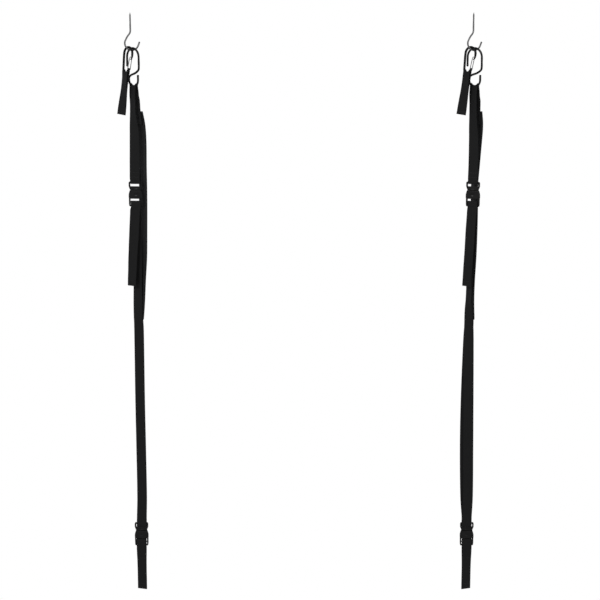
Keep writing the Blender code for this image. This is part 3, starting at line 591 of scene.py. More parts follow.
class Strip:
    """A band of webbing: a smooth grid through rows of points, with its normals."""

    EDGE = (0.0, 0.012, 0.035, 0.065)

    def __init__(self, rows, step=2.6, inner=10):
        fractions = list(self.EDGE) + [0.065 + (1 - 0.13) * (i + 1) / inner for i in range(inner - 1)]
        fractions += [1 - f for f in reversed(self.EDGE)]
        filled = []
        for row in rows:
            places = distances(row)
            filled.append(hermite(row, places, [f * places[-1] for f in fractions]))
        middle = [row[len(row) // 2] for row in filled]
        places = distances(middle)
        count = max(4, round(places[-1] / step))
        dense = self.dense_places(places, count)
        columns = []
        for index in range(len(fractions)):
            columns.append(hermite([row[index] for row in filled], places, dense))
        self.grid = [[column[i] for column in columns] for i in range(len(dense))]
        self.along = dense
        self.fractions = fractions
        self.normals = self.find_normals()

    @staticmethod
    def dense_places(places, count):
        """Even steps, with extra rows wherever the table's rows are already closer than that."""
        step = places[-1] / count
        result = [0.0]
        for a, b in zip(places, places[1:]):
            parts = max(1, round((b - a) / step))
            if b - a < step * 0.7 and result[-1] > b - step * 0.35:
                continue
            result += [a + (b - a) * (i + 1) / parts for i in range(parts)]
        if result[-1] < places[-1]:
            result[-1] = places[-1]
        return result

    def find_normals(self):
        grid = self.grid
        normals = []
        for i in range(len(grid)):
            row = []
            down = (max(i - 1, 0), min(i + 1, len(grid) - 1))
            for j in range(len(grid[0])):
                side = (max(j - 1, 0), min(j + 1, len(grid[0]) - 1))
                along = grid[down[1]][j] - grid[down[0]][j]
                across = grid[i][side[1]] - grid[i][side[0]]
                row.append(across.cross(along).normalized())
            normals.append(row)
        return normals

    def ripple(self, seed, size, start, end):
        """Small soft waves in the free length, fading out at both ends."""
        draw = random.Random(seed)
        waves = [(draw.uniform(0.06, 0.16), draw.uniform(0, 6.28),
                  draw.uniform(-1.5, 1.5)) for _ in range(4)]
        for i, s in enumerate(self.along):
            fade = smooth(min(1.0, max(0.0, (s - start) / 25.0))) * smooth(min(1.0,
                                                                               max(0.0,
                                                                                   (end - s) / 25.0)))
            for j, f in enumerate(self.fractions):
                lift = sum(math.sin(s * rate + phase + skew * (f - 0.5)) for rate, phase,
                           skew in waves) / 4
                self.grid[i][j] = self.grid[i][j] + self.normals[i][j] * (size * fade * lift)
        self.normals = self.find_normals()
        return self

    def at(self, s, u):
        """Point and normal on the middle surface at distance s and width share u from -1 to 1."""
        i = min(range(len(self.along)), key=lambda k: abs(self.along[k] - s))
        k = i + 1 if s > self.along[i] else i - 1
        k = min(max(k, 0), len(self.along) - 1)
        t = 0.0 if k == i else (s - self.along[i]) / (self.along[k] - self.along[i])
        f = (u + 1) / 2
        j = max(index for index, value in enumerate(self.fractions) if value <= f + 1e-9)
        j = min(j, len(self.fractions) - 2)
        w = (f - self.fractions[j]) / (self.fractions[j + 1] - self.fractions[j])
        near = self.grid[i][j].lerp(self.grid[i][j + 1], w)
        far = self.grid[k][j].lerp(self.grid[k][j + 1], w)
        return near.lerp(far, t), self.normals[i][j]

    def add_to(self, work, layer, thick=WEB_THICK, start=0.0, index=0):
        """Adds the band as a closed solid with rounded edges."""
        half = thick / 2
        shape = []
        for f in self.fractions:
            inset = min(f, 1 - f) * WEB_WIDTH
            rim = 0.0 if inset <= 0 else math.sqrt(max(0.0, 1 - (1 - min(1.0, inset / half)) ** 2))
            selvedge = 1.0 + 0.07 * math.exp(-((inset - 1.4) / 0.8) ** 2)
            shape.append(rim * selvedge)
        rings = []
        for row, normals, s in zip(self.grid, self.normals, self.along):
            ring = []
            width = sum((b - a).length for a, b in zip(row, row[1:]))
            order = [(j, 1.0) for j in range(len(row))] + [(j, -1.0) for j in range(len(row) - 2,
                                                                                    0, -1)]
            for j, side in order:
                vertex = work.verts.new((row[j] + normals[j] * (side * half * shape[j])) * MM)
                vertex[layer] = Vector(((self.fractions[j] - 0.5) * width * MM, (s + start) * MM,
                                        side))
                ring.append(vertex)
            rings.append(ring)
        for upper, lower in zip(rings, rings[1:]):
            for j in range(len(upper)):
                k = (j + 1) % len(upper)
                work.faces.new((upper[j], upper[k], lower[k], lower[j])).material_index = index
        last = len(self.fractions) - 1
        size = len(rings[0])
        for ring in (rings[0], rings[-1]):
            for j in range(last):
                corners = [ring[j], ring[j + 1], ring[(size - j - 1) % size],
                           ring[(size - j) % size]]
                corners = list(dict.fromkeys(corners))
                if len(corners) > 2:
                    work.faces.new(corners).material_index = index


def capsule(work, layer, start, end, up, radius, index):
    """One stitch: a short rounded bar lying on the cloth."""
    along = (end - start).normalized()
    side = along.cross(up).normalized()
    up = side.cross(along)
    rings = []
    for share, scale in ((0.0, 0.45), (0.14, 0.95), (0.5, 1.1), (0.86, 0.95), (1.0, 0.45)):
        middle = start.lerp(end, share) + up * radius * (0.35 * (scale - 0.4))
        ring = []
        for step in range(6):
            angle = math.pi * step / 3
            offset = side * math.cos(angle) + up * math.sin(angle)
            vertex = work.verts.new((middle + offset * radius * scale) * MM)
            vertex[layer] = vertex.co
            ring.append(vertex)
        rings.append(ring)
    for upper, lower in zip(rings, rings[1:]):
        for step in range(6):
            k = (step + 1) % 6
            work.faces.new((upper[step], lower[step], lower[k], upper[k])).material_index = index
    work.faces.new(rings[0]).material_index = index
    work.faces.new(list(reversed(rings[-1]))).material_index = index


def sew(work, layer, surface, path, lift, pitch=3.0, thread=0.24, index=1):
    """Stitches along a path of (s, u) pairs on a strip, on the side that lift points to."""
    points = []
    for s, u in path:
        points.append(Vector((s, u * WEB_WIDTH / 2)))
    places = distances([Vector((p.x, p.y, 0.0)) for p in points])
    count = max(1, round(places[-1] / pitch))
    for step in range(count):
        ends = []
        for share in (step + 0.1, step + 0.88):
            place = places[-1] * share / count
            k = max(i for i, value in enumerate(places) if value <= place + 1e-9)
            k = min(k, len(points) - 2)
            t = (place - places[k]) / (places[k + 1] - places[k])
            flat = points[k].lerp(points[k + 1], t)
            point, normal = surface.at(flat.x, flat.y / (WEB_WIDTH / 2))
            ends.append((point + normal * lift, normal * (1 if lift > 0 else -1)))
        capsule(work, layer, ends[0][0], ends[1][0], ends[0][1], thread, index)


def box_stitch(start, end, edge=0.78, cross=True):
    """Path of a sewn box with its two diagonals."""
    path = [[(start, -edge), (end, -edge), (end, edge), (start, edge), (start, -edge)]]
    if cross:
        path += [[(start, -edge), (end, edge)], [(start, edge), (end, -edge)]]
    return path


def bar_tack(s, edge=0.8):
    return [[(s, -edge), (s, edge)], [(s + 0.9, edge), (s + 0.9, -edge)],
            [(s + 1.8, -edge), (s + 1.8, edge)]]


def new_work():
    work = bmesh.new()
    return work, work.verts.layers.float_vector.new("strip")


def finish_mesh(name, work, origin, materials, flat=False):
    bmesh.ops.recalc_face_normals(work, faces=work.faces)
    mesh = bpy.data.meshes.new(name)
    bmesh.ops.translate(work, verts=work.verts, vec=origin)
    work.to_mesh(mesh)
    work.free()
    if not flat:
        mesh.shade_smooth()
    for key in materials:
        mesh.materials.append(MATERIALS[key])
    obj = bpy.data.objects.new(name, mesh)
    bpy.context.scene.collection.objects.link(obj)
    return obj


def tube(work, layer, points, radii, sides=20, start=None, caps=True):
    """A round bar along points; radii may be numbers or functions of the angle round it."""
    tangents = []
    for index in range(len(points)):
        low, high = max(index - 1, 0), min(index + 1, len(points) - 1)
        tangents.append((points[high] - points[low]).normalized())
    side = start or Vector((0.0, 1.0, 0.0))
    rings = []
    travelled = 0.0
    for index, (point, tangent) in enumerate(zip(points, tangents)):
        side = (side - tangent * side.dot(tangent)).normalized()
        other = tangent.cross(side)
        if index:
            travelled += (point - points[index - 1]).length
        ring = []
        for step in range(sides):
            angle = 2 * math.pi * step / sides
            radius = radii[index](angle) if callable(radii[index]) else radii[index]
            vertex = work.verts.new((point + (side * math.cos(angle) + other * math.sin(angle)) * radius) * MM)
            vertex[layer] = Vector((angle * radius, travelled, 0.0)) * MM
            ring.append(vertex)
        rings.append(ring)
    for upper, lower in zip(rings, rings[1:]):
        for step in range(sides):
            k = (step + 1) % sides
            work.faces.new((upper[step], upper[k], lower[k], lower[step]))
    if caps:
        work.faces.new(rings[0])
        work.faces.new(list(reversed(rings[-1])))


def rounded_ends(points, radius, start=True, end=True, swell=1.0):
    """Extra points and radii that close a bar with half round ends."""
    radii = [radius] * len(points)
    extra = [(math.sin(a), math.cos(a)) for a in (0.4, 0.8, 1.15, 1.4)]
    if end:
        tangent = (points[-1] - points[-2]).normalized()
        tip = points[-1] - tangent * radius * 0.6
        points = points[:-1] + [tip + tangent * radius * rise * swell for rise,
                                _ in [(0.0, 1.0)] + extra]
        radii = radii[:-1] + [radius * swell * width for _, width in [(0.0, 1.0)] + extra]
    if start:
        tangent = (points[0] - points[1]).normalized()
        tip = points[0] - tangent * radius * 0.6
        head = [tip + tangent * radius * rise * swell for rise, _ in reversed([(0.0, 1.0)] + extra)]
        widths = [radius * swell * width for _, width in reversed([(0.0, 1.0)] + extra)]
        points = head + points[1:]
        radii = widths + radii[1:]
    return points, radii


def smooth_path(points, step):
    """Points resampled evenly on a smooth curve."""
    places = distances(points)
    count = max(2, round(places[-1] / step))
    return hermite(points, places, [places[-1] * i / count for i in range(count + 1)])


def applied(obj):
    """The object's mesh with its modifiers applied."""
    mesh = bpy.data.meshes.new_from_object(obj.evaluated_get(bpy.context.evaluated_depsgraph_get()))
    old = obj.data
    obj.modifiers.clear()
    obj.data = mesh
    mesh.name = old.name
    bpy.data.meshes.remove(old)
    return obj


def plate(outline, thickness):
    """A closed flat plate from an (x, z) outline, even about y = 0."""
    work = bmesh.new()
    front = [work.verts.new(Vector((x, -thickness / 2, z)) * MM) for x, z in outline]
    back = [work.verts.new(Vector((x, thickness / 2, z)) * MM) for x, z in outline]
    work.faces.new(front)
    work.faces.new(list(reversed(back)))
    for i in range(len(front)):
        k = (i + 1) % len(front)
        work.faces.new((front[i], back[i], back[k], front[k]))
    bmesh.ops.recalc_face_normals(work, faces=work.faces)
    return work


def block(low, high):
    work = bmesh.new()
    low, high = Vector(low), Vector(high)
    place = Matrix.Translation((low + high) / 2 * MM) @ Matrix.Diagonal((*((high - low) * MM), 1.0))
    bmesh.ops.create_cube(work, size=1.0, matrix=place)
    return work


def bar(z, radius, half, squash=1.0):
    work = bmesh.new()
    place = (Matrix.Translation((0.0, 0.0, z * MM)) @ Matrix.Diagonal((1.0, squash, 1.0, 1.0))
             @ Matrix.Rotation(math.pi / 2, 4, "Y"))
    bmesh.ops.create_cone(work, cap_ends=True, segments=28, radius1=radius * MM,
                          radius2=radius * MM,
                          depth=2 * half * MM, matrix=place)
    return work


def ball(centre, size):
    work = bmesh.new()
    place = Matrix.Translation(Vector(centre) * MM) @ Matrix.Diagonal((*(Vector(size) * MM), 1.0))
    bmesh.ops.create_uvsphere(work, u_segments=40, v_segments=20, radius=1.0, matrix=place)
    return work


def mirrored(half):
    return list(half) + [(-x, z) for x, z in reversed(half) if x > 0.0]


def moulded(name, place, origin, base, steps, voxel=0.42, passes=5):
    """A moulded part: solids joined and cut in turn, then its edges rounded off."""
    obj = finish_mesh(name, base, Vector((0.0, 0.0, 0.0)), ["plastic"], True)
    helpers = []
    for number, (operation, work) in enumerate(steps):
        helper = finish_mesh(f"{name}_tool{number}", work, Vector((0.0, 0.0, 0.0)), [], True)
        modifier = obj.modifiers.new("step", "BOOLEAN")
        modifier.operation = operation
        modifier.object = helper
        modifier.solver = "EXACT"
        helpers.append(helper)
    remesh = obj.modifiers.new("round", "REMESH")
    remesh.mode = "VOXEL"
    remesh.voxel_size = voxel * MM
    soften = obj.modifiers.new("soften", "SMOOTH")
    soften.factor = 0.5
    soften.iterations = passes
    applied(obj)
    for helper in helpers:
        data = helper.data
        bpy.data.objects.remove(helper)
        bpy.data.meshes.remove(data)
    x, y, z, yaw = place
    turn = Matrix.Rotation(math.radians(-yaw), 4, "Z")
    obj.data.transform(Matrix.Translation(origin + Vector((x, y, z)) * MM) @ turn)
    obj.data.materials.clear()
    obj.data.materials.append(MATERIALS["plastic"])
    obj.data.shade_smooth()
    return obj


# ---------------------------------------------------------------- one strap

class Strap:
    def __init__(self, side):
        self.side = side
        self.data = STRAPS[side]
        self.shank = Vector((self.data["side"] * HOOK_PITCH / 2, 0.0, 0.0))
        self.seed = 11 if side == "left" else 23

    def name(self, text):
        return f"{self.side}_{text}"

    def world(self, point):
        return self.shank + Vector(point) * MM

    def put(self, obj, body, nodes, slot=None):
        """Rides on one body and stands for its CAD nodes."""
        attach(obj, self.name(body) if body != "screw_hooks" else body)
        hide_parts(*[self.name(node) for node in nodes])
        self.name(slot or nodes[0])

    def put_across(self, obj, first, second, start, end, nodes, slot=None):
        """Baked in place between two bodies, attached to neither, and stands for its CAD nodes."""
        self.name(first)
        self.name(second)
        self.world(start)
        self.world(end)
        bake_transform(obj)
        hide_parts(*[self.name(node) for node in nodes])
        self.name(slot or nodes[0])

    # ------------------------------------------------------------ hardware

    def screw_hook(self):
        across = yaw_direction(SCREW_YAW)
        bend = [Vector((u, 0.0, z)) for u, z in [(0.0, -4.0), (0.0, -11.0), (-1.6, -17.0),
                                                 (-8.0, -25.5), (-13.4, -33.5)]]
        bowl = [Vector((u, 0.0, z)) for u, z in arc(BOWL_CENTRE, BOWL_RADIUS, 166,
                                                    360 + BOWL_END_ANGLE, 20)]
        tip = [Vector((BOWL_TIP[0], 0.0, BOWL_TIP[1]))]
        wire = smooth_path(bend[:-1] + bowl + tip, 1.0)
        wire = [across * p.x + Vector((0.0, 0.0, p.z)) for p in wire]
        wire, wire_radii = rounded_ends(wire, SCREW_WIRE, start=False)
        points, radii = [], []
        fine = 0.16
        count = int((SCREW_THREAD + 3.0) / fine)
        for step in range(count):
            z = SCREW_THREAD - step * fine
            points.append(Vector((0.0, 0.0, z)))
            tip_share = smooth(min(1.0, (SCREW_THREAD - z) / 8.0 + 0.08))
            run_out = smooth(min(1.0, max(0.0, (z - 3.0) / 4.0)))
            radii.append(self.thread_radius(z, tip_share, run_out))
        tail = [Vector((0.0, 0.0, -3.2)), Vector((0.0, 0.0, -3.6))]
        work, layer = new_work()
        tube(work, layer, points + tail + wire, radii + [SCREW_WIRE] * 2 + wire_radii, 24)
        obj = finish_mesh(self.name("threaded_hook"), work, self.shank, ["zinc"])
        self.put(obj, "screw_hooks", ["screw_hook"])

    @staticmethod
    def thread_radius(z, tip_share, run_out):
        root = SCREW_WIRE * (0.99 - 0.2 * run_out) * tip_share + 0.12 * (1 - tip_share)
        crest = 0.62 * run_out * (0.25 + 0.75 * tip_share)

        def radius(angle):
            phase = (z / THREAD_PITCH - angle / (2 * math.pi)) % 1.0
            rise = max(0.0, 1.0 - abs(phase - 0.5) / 0.27)
            return root + crest * smooth(min(1.0, rise * 1.15))
        return radius

    def s_hook(self):
        top = s_hook_top()
        centre_z = top.z - S_TOP_RADIUS
        low_u, low_z = S_LOW_CENTRE
        path = [(-S_TOP_RADIUS, centre_z - S_TIP_LENGTH), (-S_TOP_RADIUS, centre_z - 11.0)]
        path += arc((0.0, centre_z), S_TOP_RADIUS, 180, 0, 14)
        path += [(S_TOP_RADIUS, centre_z - 8.0), (S_TOP_RADIUS, -99.5), (20.4, -106.2),
                 (8.5, -113.8),
                 (-9.0, -119.8), (-15.6, -125.5)]
        path += arc(S_LOW_CENTRE, S_LOW_RADIUS, 184, 360,
                    12) + [(low_u + S_LOW_RADIUS, low_z + 11.5)]
        across = yaw_direction(HANG_YAW)
        base = Vector((top.x, top.y, 0.0))
        points = smooth_path([base + across * u + Vector((0.0, 0.0, z)) for u, z in path], 1.4)
        points, radii = rounded_ends(points, S_WIRE, swell=1.12)
        draw = random.Random(self.seed)
        waves = [(draw.uniform(0.1, 0.5), draw.uniform(0, 6.28)) for _ in range(5)]
        for index in range(8, len(radii) - 8):
            radii[index] *= 1.0 + 0.012 * sum(math.sin(index * rate + phase) for rate,
                                              phase in waves)
        work, layer = new_work()
        tube(work, layer, points, radii, 20)
        self.put(finish_mesh(self.name("dipped_s_hook"), work, self.shank, ["vinyl"]), "hanger",
                 ["s_hook"])

    def carabiner(self):
        matrix = carabiner_matrix()
        path = [(GATE_PIVOT[0], GATE_PIVOT[1] + 3.6)]
        path += arc(CARA_LOW_CENTRE, CARA_LOW_RADIUS, 0, -180, 14)
        path += [(-15.2, -38.0), (-15.8, -24.0)]
        path += arc((0.0, -CARA_TOP_RADIUS), CARA_TOP_RADIUS, 176, 0, 16)
        path += [(15.6, -20.5), (14.9, -25.4), (12.9, -28.3), (10.4, -28.9)]
        points = [matrix @ Vector((u, 0.0, z)) for u, z in path]
        places = distances(points)
        points = smooth_path(points, 0.9)
        nose = places[-5]
        normal = matrix.to_3x3() @ Vector((0.0, 1.0, 0.0))
        radii = []
        walked = distances(points)
        for s in walked:
            taper = 1.0 - 0.52 * smooth(min(1.0, max(0.0, (s - nose) / (walked[-1] - nose))))
            radii.append(self.beam_radius(CARA_ROD * taper))
        keep = len(points)
        points, ends = rounded_ends(points, CARA_ROD, end=False)
        radii = ends[:len(points) - keep + 1] + radii[1:]
        tangent = (points[-1] - points[-2]).normalized()
        for rise, width in ((0.5, 0.86), (0.9, 0.5)):
            points.append(points[-1] + tangent * rise * 0.5)
            radii.append(self.beam_radius(CARA_ROD * 0.48 * width))
        work, layer = new_work()
        tube(work, layer, points, radii, 20, normal)
        low = matrix @ Vector((GATE_PIVOT[0], 0.0, GATE_PIVOT[1]))
        for sign in (-1.0, 1.0):
            rivet = [low + normal * sign * (CARA_ROD * 0.8),
                     low + normal * sign * (CARA_ROD + 0.12)]
            tube(work, layer, rivet, [1.05, 0.85], 14, matrix.to_3x3() @ Vector((1.0, 0.0, 0.0)))
        obj = finish_mesh(self.name("carabiner_rod"), work, self.shank, ["alloy"])
        self.put(obj, "carabiner", ["carabiner_body"])
        self.gate(matrix)

    @staticmethod
    def beam_radius(size):
        """A forged section, a little flatter on its two faces than a round rod."""
        return lambda angle: size * (1.0 - 0.05 * math.cos(2 * angle) ** 2 * (1 if abs(math.cos(angle)) > 0.7 else 0))

    def gate(self, matrix):
        foot = CARA_ROD + GAP + GATE_WIRE
        side = 3.5
        pivot, head = Vector(GATE_PIVOT), Vector(GATE_TOP)
        leg = [(pivot.lerp(head, t), foot + (side - foot) * t) for t in (0.0, 0.3, 0.6, 0.88)]
        half = leg + [(head, side * math.cos(a)) for a in (0.9, 1.57)]
        points = [matrix @ Vector((p.x, n, p.y)) for p, n in half]
        points += [matrix @ Vector((p.x, -n, p.y)) for p, n in reversed(half[:-1])]
        points = smooth_path(points, 0.6)
        points, radii = rounded_ends(points, GATE_WIRE)
        work, layer = new_work()
        tube(work, layer, points, radii, 14, matrix.to_3x3() @ Vector((1.0, 0.0, 0.0)))
        self.put(finish_mesh(self.name("wire_gate"), work, self.shank, ["gate"]), "gate",
                 ["carabiner_gate"])

    # ------------------------------------------------------------ webbing

    def tether(self):
        """Tab on the carabiner: up the front, through the lower bend and down the back."""
        matrix = carabiner_matrix()
        rotation = matrix.to_3x3()
        across = rotation @ Vector((1.0, 0.0, 0.0))
        normal = rotation @ Vector((0.0, 1.0, 0.0))
        down = rotation @ Vector((0.0, 0.0, -1.0))
        centre = matrix @ Vector((CARA_LOW_CENTRE[0], 0.0, CARA_LOW_CENTRE[1]))
        saddle = saddle_rows(centre, across, normal, down, CARA_LOW_RADIUS, CARA_ROD)
        bottom, lean = tab_frame()
        front = blended_rows(saddle[0], tab_row(bottom, lean, 7.0, -2.6, 0.0), 3)
        back = blended_rows(saddle[-1], tab_row(bottom, lean, 7.0, 2.6, 0.0), 3)
        plies = []
        for step in range(1, 11):
            t = step / 10
            ply = 2.6 - 1.85 * smooth(min(1.0, 1.9 * t))
            plies.append((10.5 + (TAB_LENGTH - 12.0) * (step - 1) / 9, ply, (step - 1) / 9))
        front_run = [tab_row(bottom, lean, distance, -ply, t) for distance, ply, t in plies]
        back_run = [tab_row(bottom, lean, distance, ply, t) for distance, ply, t in plies]
        rows = list(reversed(front_run)) + list(reversed(front)) + saddle + back + back_run
        strip = Strip(rows)
        work, layer = new_work()
        strip.add_to(work, layer)
        total = strip.along[-1]
        outside = self.outside(strip, total * 0.1)
        for path in bar_tack(TAB_LENGTH - 28.0) + bar_tack(6.0) + box_stitch(3.5, 21.0, 0.74)[:1]:
            for mirror in (False, True):
                line = [((total - s) if mirror else s, u) for s, u in path]
                sew(work, layer, strip, line, outside * WEB_THICK * 0.5)
        obj = finish_mesh(self.name("tether_webbing"), work, self.shank, ["webbing", "thread"])
        hinge = bottom + lean * 8.8
        self.put_across(obj, "carabiner", "tab", hinge - lean * 5.0, hinge + lean * 5.0,
                        ["tether_tab", "tether_loop"])

    @staticmethod
    def outside(strip, s):
        """Which side of the strip faces away from the far end of the loop it makes."""
        point, normal = strip.at(s, 0.0)
        other, _ = strip.at(strip.along[-1] - s, 0.0)
        return 1.0 if normal.dot(point - other) > 0 else -1.0

    def sling(self):
        """From the upper buckle's bar up over the S-hook and down into the pad."""
        data = self.data
        top = s_hook_top()
        across = yaw_direction(HANG_YAW)
        normal = yaw_direction(HANG_YAW - 90.0)
        centre = Vector((top.x, top.y, S_LOW_CENTRE[1])) + across * S_LOW_CENTRE[0]
        saddle = saddle_rows(centre, across, normal, Vector((0, 0, -1)), S_LOW_RADIUS, S_WIRE)
        front_top, back_top = (run_rows(data[key], -168, -169, 1)[0] for key in ("front", "back"))
        for row in (front_top, back_top):
            for point in row:
                point.z = SLING_FLEX_Z + 2.4
        front = blended_rows(saddle[0], front_top, 4)
        back = blended_rows(saddle[-1], back_top, 4)
        place = data["upper_buckle"]
        radius = BAR_RADIUS + GAP + WEB_THICK / 2
        down = run_rows(data["front"], -171.0, -374.0, 16)
        fold = wrap_rows(place, BAR_Z, radius, 0, -180, 10)
        fold += [buckle_row(place, 3.0, 6.0), buckle_row(place, 0.2, 16.0),
                 buckle_row(place, -1.35, 30.0)]
        rows = list(reversed(fold)) + list(reversed(down)) + list(reversed(front)) + saddle + back
        rows += run_rows(data["back"], -171.0, -240.0, 7)
        strip = Strip(rows).ripple(self.seed, 0.35, 70.0, 250.0)
        work, layer = new_work()
        strip.add_to(work, layer)
        face = 1.0 if strip.at(120.0, 0.0)[1].y < 0 else -1.0
        fold_length = 30.0 + math.pi * radius
        for path in bar_tack(fold_length + 16.0) + bar_tack(fold_length + 27.0):
            sew(work, layer, strip, path, face * WEB_THICK * 0.5)
        total = strip.along[-1]
        face = 1.0 if strip.at(total - 20.0, 0.0)[1].y < 0 else -1.0
        for path in box_stitch(total - 27.0, total - 3.0, 0.76):
            sew(work, layer, strip, path, face * WEB_THICK * 0.5)
        obj = finish_mesh(self.name("sling_webbing"), work, self.shank, ["webbing", "thread"])
        self.put_across(obj, "hanger", "sling", (top.x, top.y, SLING_FLEX_Z + 8),
                        (top.x, top.y, SLING_FLEX_Z - 8),
                        ["front_webbing", "back_webbing", "sling_loop"])

    def ladder_rows(self, place, shift, bend_z, front):
        """Half of the turn over the ladder bar, from its top down the front or the back."""
        radius = LADDER_BAR[1] + GAP + WEB_THICK / 2 + 0.22 * (bend_z - LADDER_BAR[0])
        clear = END_BAR[1] + GAP + WEB_THICK / 2 + 0.1
        y = -clear if front else clear
        rows = wrap_rows(place, bend_z, radius, 90, 0 if front else 180, 6, shift)
        return rows + [buckle_row(place, y, z, shift) for z in (-57.0, -60.8, TAIL_START + 2.5)]

    def adjuster(self):
        """Load run behind the ladder frame, and the free tail in front of it."""
        place = self.data["upper_buckle"]
        load = run_rows(self.data["load"], -452.0, -728.0, 20)
        lower = run_rows(self.data["leg_front"], -728.0, -734.0, 1)[0]
        for share, row in ((0.35, -3), (0.7, -2), (1.0, -1)):
            load[row] = [a.lerp(b, share) for a, b in zip(load[row], lower)]
            for point in load[row]:
                point.z = -728.0 - 13.8 * (row + 1)
        strip = Strip(self.ladder_rows(place, 0.0, LADDER_BAR[0], False) + load)
        strip.ripple(self.seed + 1, 0.3, 40.0, strip.along[-1] - 30.0)
        work, layer = new_work()
        strip.add_to(work, layer)
        total = strip.along[-1]
        face = 1.0 if strip.at(total - 20.0, 0.0)[1].y < 0 else -1.0
        for path in box_stitch(total - 28.0, total - 3.0, 0.76):
            sew(work, layer, strip, path, face * WEB_THICK * 0.5)
        obj = finish_mesh(self.name("load_webbing"), work, self.shank, ["webbing", "thread"])
        self.put_across(obj, "sling", "upper_female", (0, 0, -720), (0, 0, -455),
                        ["load_run", "adjuster_wrap"])

        tail = run_rows(self.data["tail"], -452.0, -644.0, 16)
        strip = Strip(self.ladder_rows(place, 0.0, LADDER_BAR[0], True) + tail)
        strip.ripple(self.seed + 2, 0.7, 45.0, strip.along[-1] + 40.0)
        work, layer = new_work()
        strip.add_to(work, layer)
        total = strip.along[-1]
        face = 1.0 if strip.at(total - 20.0, 0.0)[1].y < 0 else -1.0
        self.hem(work, layer, strip, -face)
        for path in ([(total - 12.0, -0.86), (total - 12.0, 0.86)],
                     [(total - 10.6, 0.86), (total - 10.6, -0.86)]):
            sew(work, layer, strip, path, face * WEB_THICK * 0.5)
        obj = finish_mesh(self.name("tail_webbing"), work, self.shank, ["webbing", "thread"])
        hinge = buckle_point(place, (0.0, -3.0, TAIL_START))
        self.put_across(obj, "upper_female", "tail", hinge + Vector((0, 0, 4)),
                        hinge - Vector((0, 0, 5)),
                        ["adjuster_tail"])

    def hem(self, work, layer, strip, side):
        """The tail's end, turned back on itself and sewn."""
        total = strip.along[-1]
        rows = []
        for step in range(9):
            angle = math.pi * step / 8
            row = []
            for u in (-1.0, -0.5, 0.0, 0.5, 1.0):
                point, normal = strip.at(total, u)
                near, _ = strip.at(total - 4.0, u)
                along = (point - near).normalized()
                lift = WEB_THICK / 2 + 0.05
                row.append(point + normal * side * lift * (1 - math.cos(angle)) + along * lift * math.sin(angle))
            rows.append(row)
        for s in (total - 5.0, total - 10.0, total - 15.0):
            row = []
            for u in (-1.0, -0.5, 0.0, 0.5, 1.0):
                point, normal = strip.at(s, u)
                row.append(point + normal * side * (WEB_THICK + 0.08))
            rows.append(row)
        Strip(rows, 1.2).add_to(work, layer, start=total)

    def leg(self):
        """Doubled lower webbing from the pad's end round the lower buckle's bar."""
        place = self.data["lower_buckle"]
        shift = self.data["lower_shift"]
        front = run_rows(self.data["leg_front"], -728.0, -1256.0, 40)
        back = run_rows(self.data["leg_back"], -728.0, -1256.0, 40)
        fall = [buckle_row(place, -LOOP_RADIUS, BAR_Z, shift)]
        rise = [buckle_row(place, LOOP_RADIUS, BAR_Z, shift)]
        loop = wrap_rows(place, LOOP_Z, LOOP_RADIUS, 0, -180, 10, shift)
        strip = Strip(front + fall + loop + rise + list(reversed(back)))
        half = strip.along[-1] / 2
        strip.ripple(self.seed + 3, 0.3, 40.0, half - 60.0)
        work, layer = new_work()
        strip.add_to(work, layer)
        obj = finish_mesh(self.name("leg_webbing"), work, self.shank, ["webbing"])
        self.put_across(obj, "sling", "lower_leg", (0, 0, LEG_FLEX_Z + 7), (0, 0, LEG_FLEX_Z - 9),
                        ["lower_webbing"])

    def end(self):
        """Folded webbing end: from its hem over the lower ladder bar and back."""
        place = self.data["lower_buckle"]
        shift = -self.data["lower_shift"] * 0.6
        yaw, base = self.data["end_yaw"], place[3]
        sides = []
        for sign in (-1.0, 1.0):
            rows = []
            heights = (TAIL_START - 0.8, -72.0, -78.0, -87.0, -96.0, -113.0, -130.0, -148.0,
                       -165.0, -182.0)
            for z in heights:
                share = min(1.0, (TAIL_START - z) / 60.0)
                turned = (place[0], place[1], place[2],
                          base + (yaw - base) * smooth(max(0.0, share)))
                ply = 3.1 - 2.35 * smooth(min(1.0, max(0.0, (TAIL_START - z) / 32.0)))
                rows.append(buckle_row(turned, sign * ply, z, shift))
            sides.append(rows)
        front = self.ladder_rows(place, shift, SLACK_Z, True)
        back = self.ladder_rows(place, shift, SLACK_Z, False)
        rows = list(reversed(sides[0])) + list(reversed(front)) + back[1:] + sides[1]
        strip = Strip(rows)
        work, layer = new_work()
        strip.add_to(work, layer)
        total = strip.along[-1]
        outside = 1.0 if strip.at(40.0, 0.0)[1].y < 0 else -1.0
        for path in bar_tack(84.0) + bar_tack(4.0) + bar_tack(13.0):
            for mirror in (False, True):
                line = [((total - s) if mirror else s, u) for s, u in path]
                sew(work, layer, strip, line, outside * WEB_THICK * 0.5)
        obj = finish_mesh(self.name("end_webbing"), work, self.shank, ["webbing", "thread"])
        hinge = buckle_point(place, (0.0, 0.0, TAIL_START))
        self.put_across(obj, "lower_female", "bottom_end", hinge + Vector((0, 0, 5)),
                        hinge - Vector((0, 0, 6)),
                        ["bottom_end", "bottom_wrap"])

    # ------------------------------------------------------------ pad

    def pad_edge(self, step, count):
        centre, yaw, width = station(self.data["pad"], PAD_TOP + (PAD_END - PAD_TOP) * step / count)
        return centre, yaw_direction(yaw), yaw_direction(yaw - 90.0), width + PAD_RIM

    @staticmethod
    def pad_height(u, half, end):
        """Half thickness at u from the middle, for a pad that is half this wide, near its ends too."""
        inner = half - BINDING_LAP
        lap = 1.45
        crown = PAD_HALF_THICK - lap - BINDING_THICK
        if abs(u) < inner:
            lift = lap + crown * (1 - (abs(u) / inner) ** 2.6) * end
        else:
            rim = (abs(u) - inner) / BINDING_LAP
            lift = lap * math.sqrt(max(0.0, 1 - rim ** 3.2))
        return lift

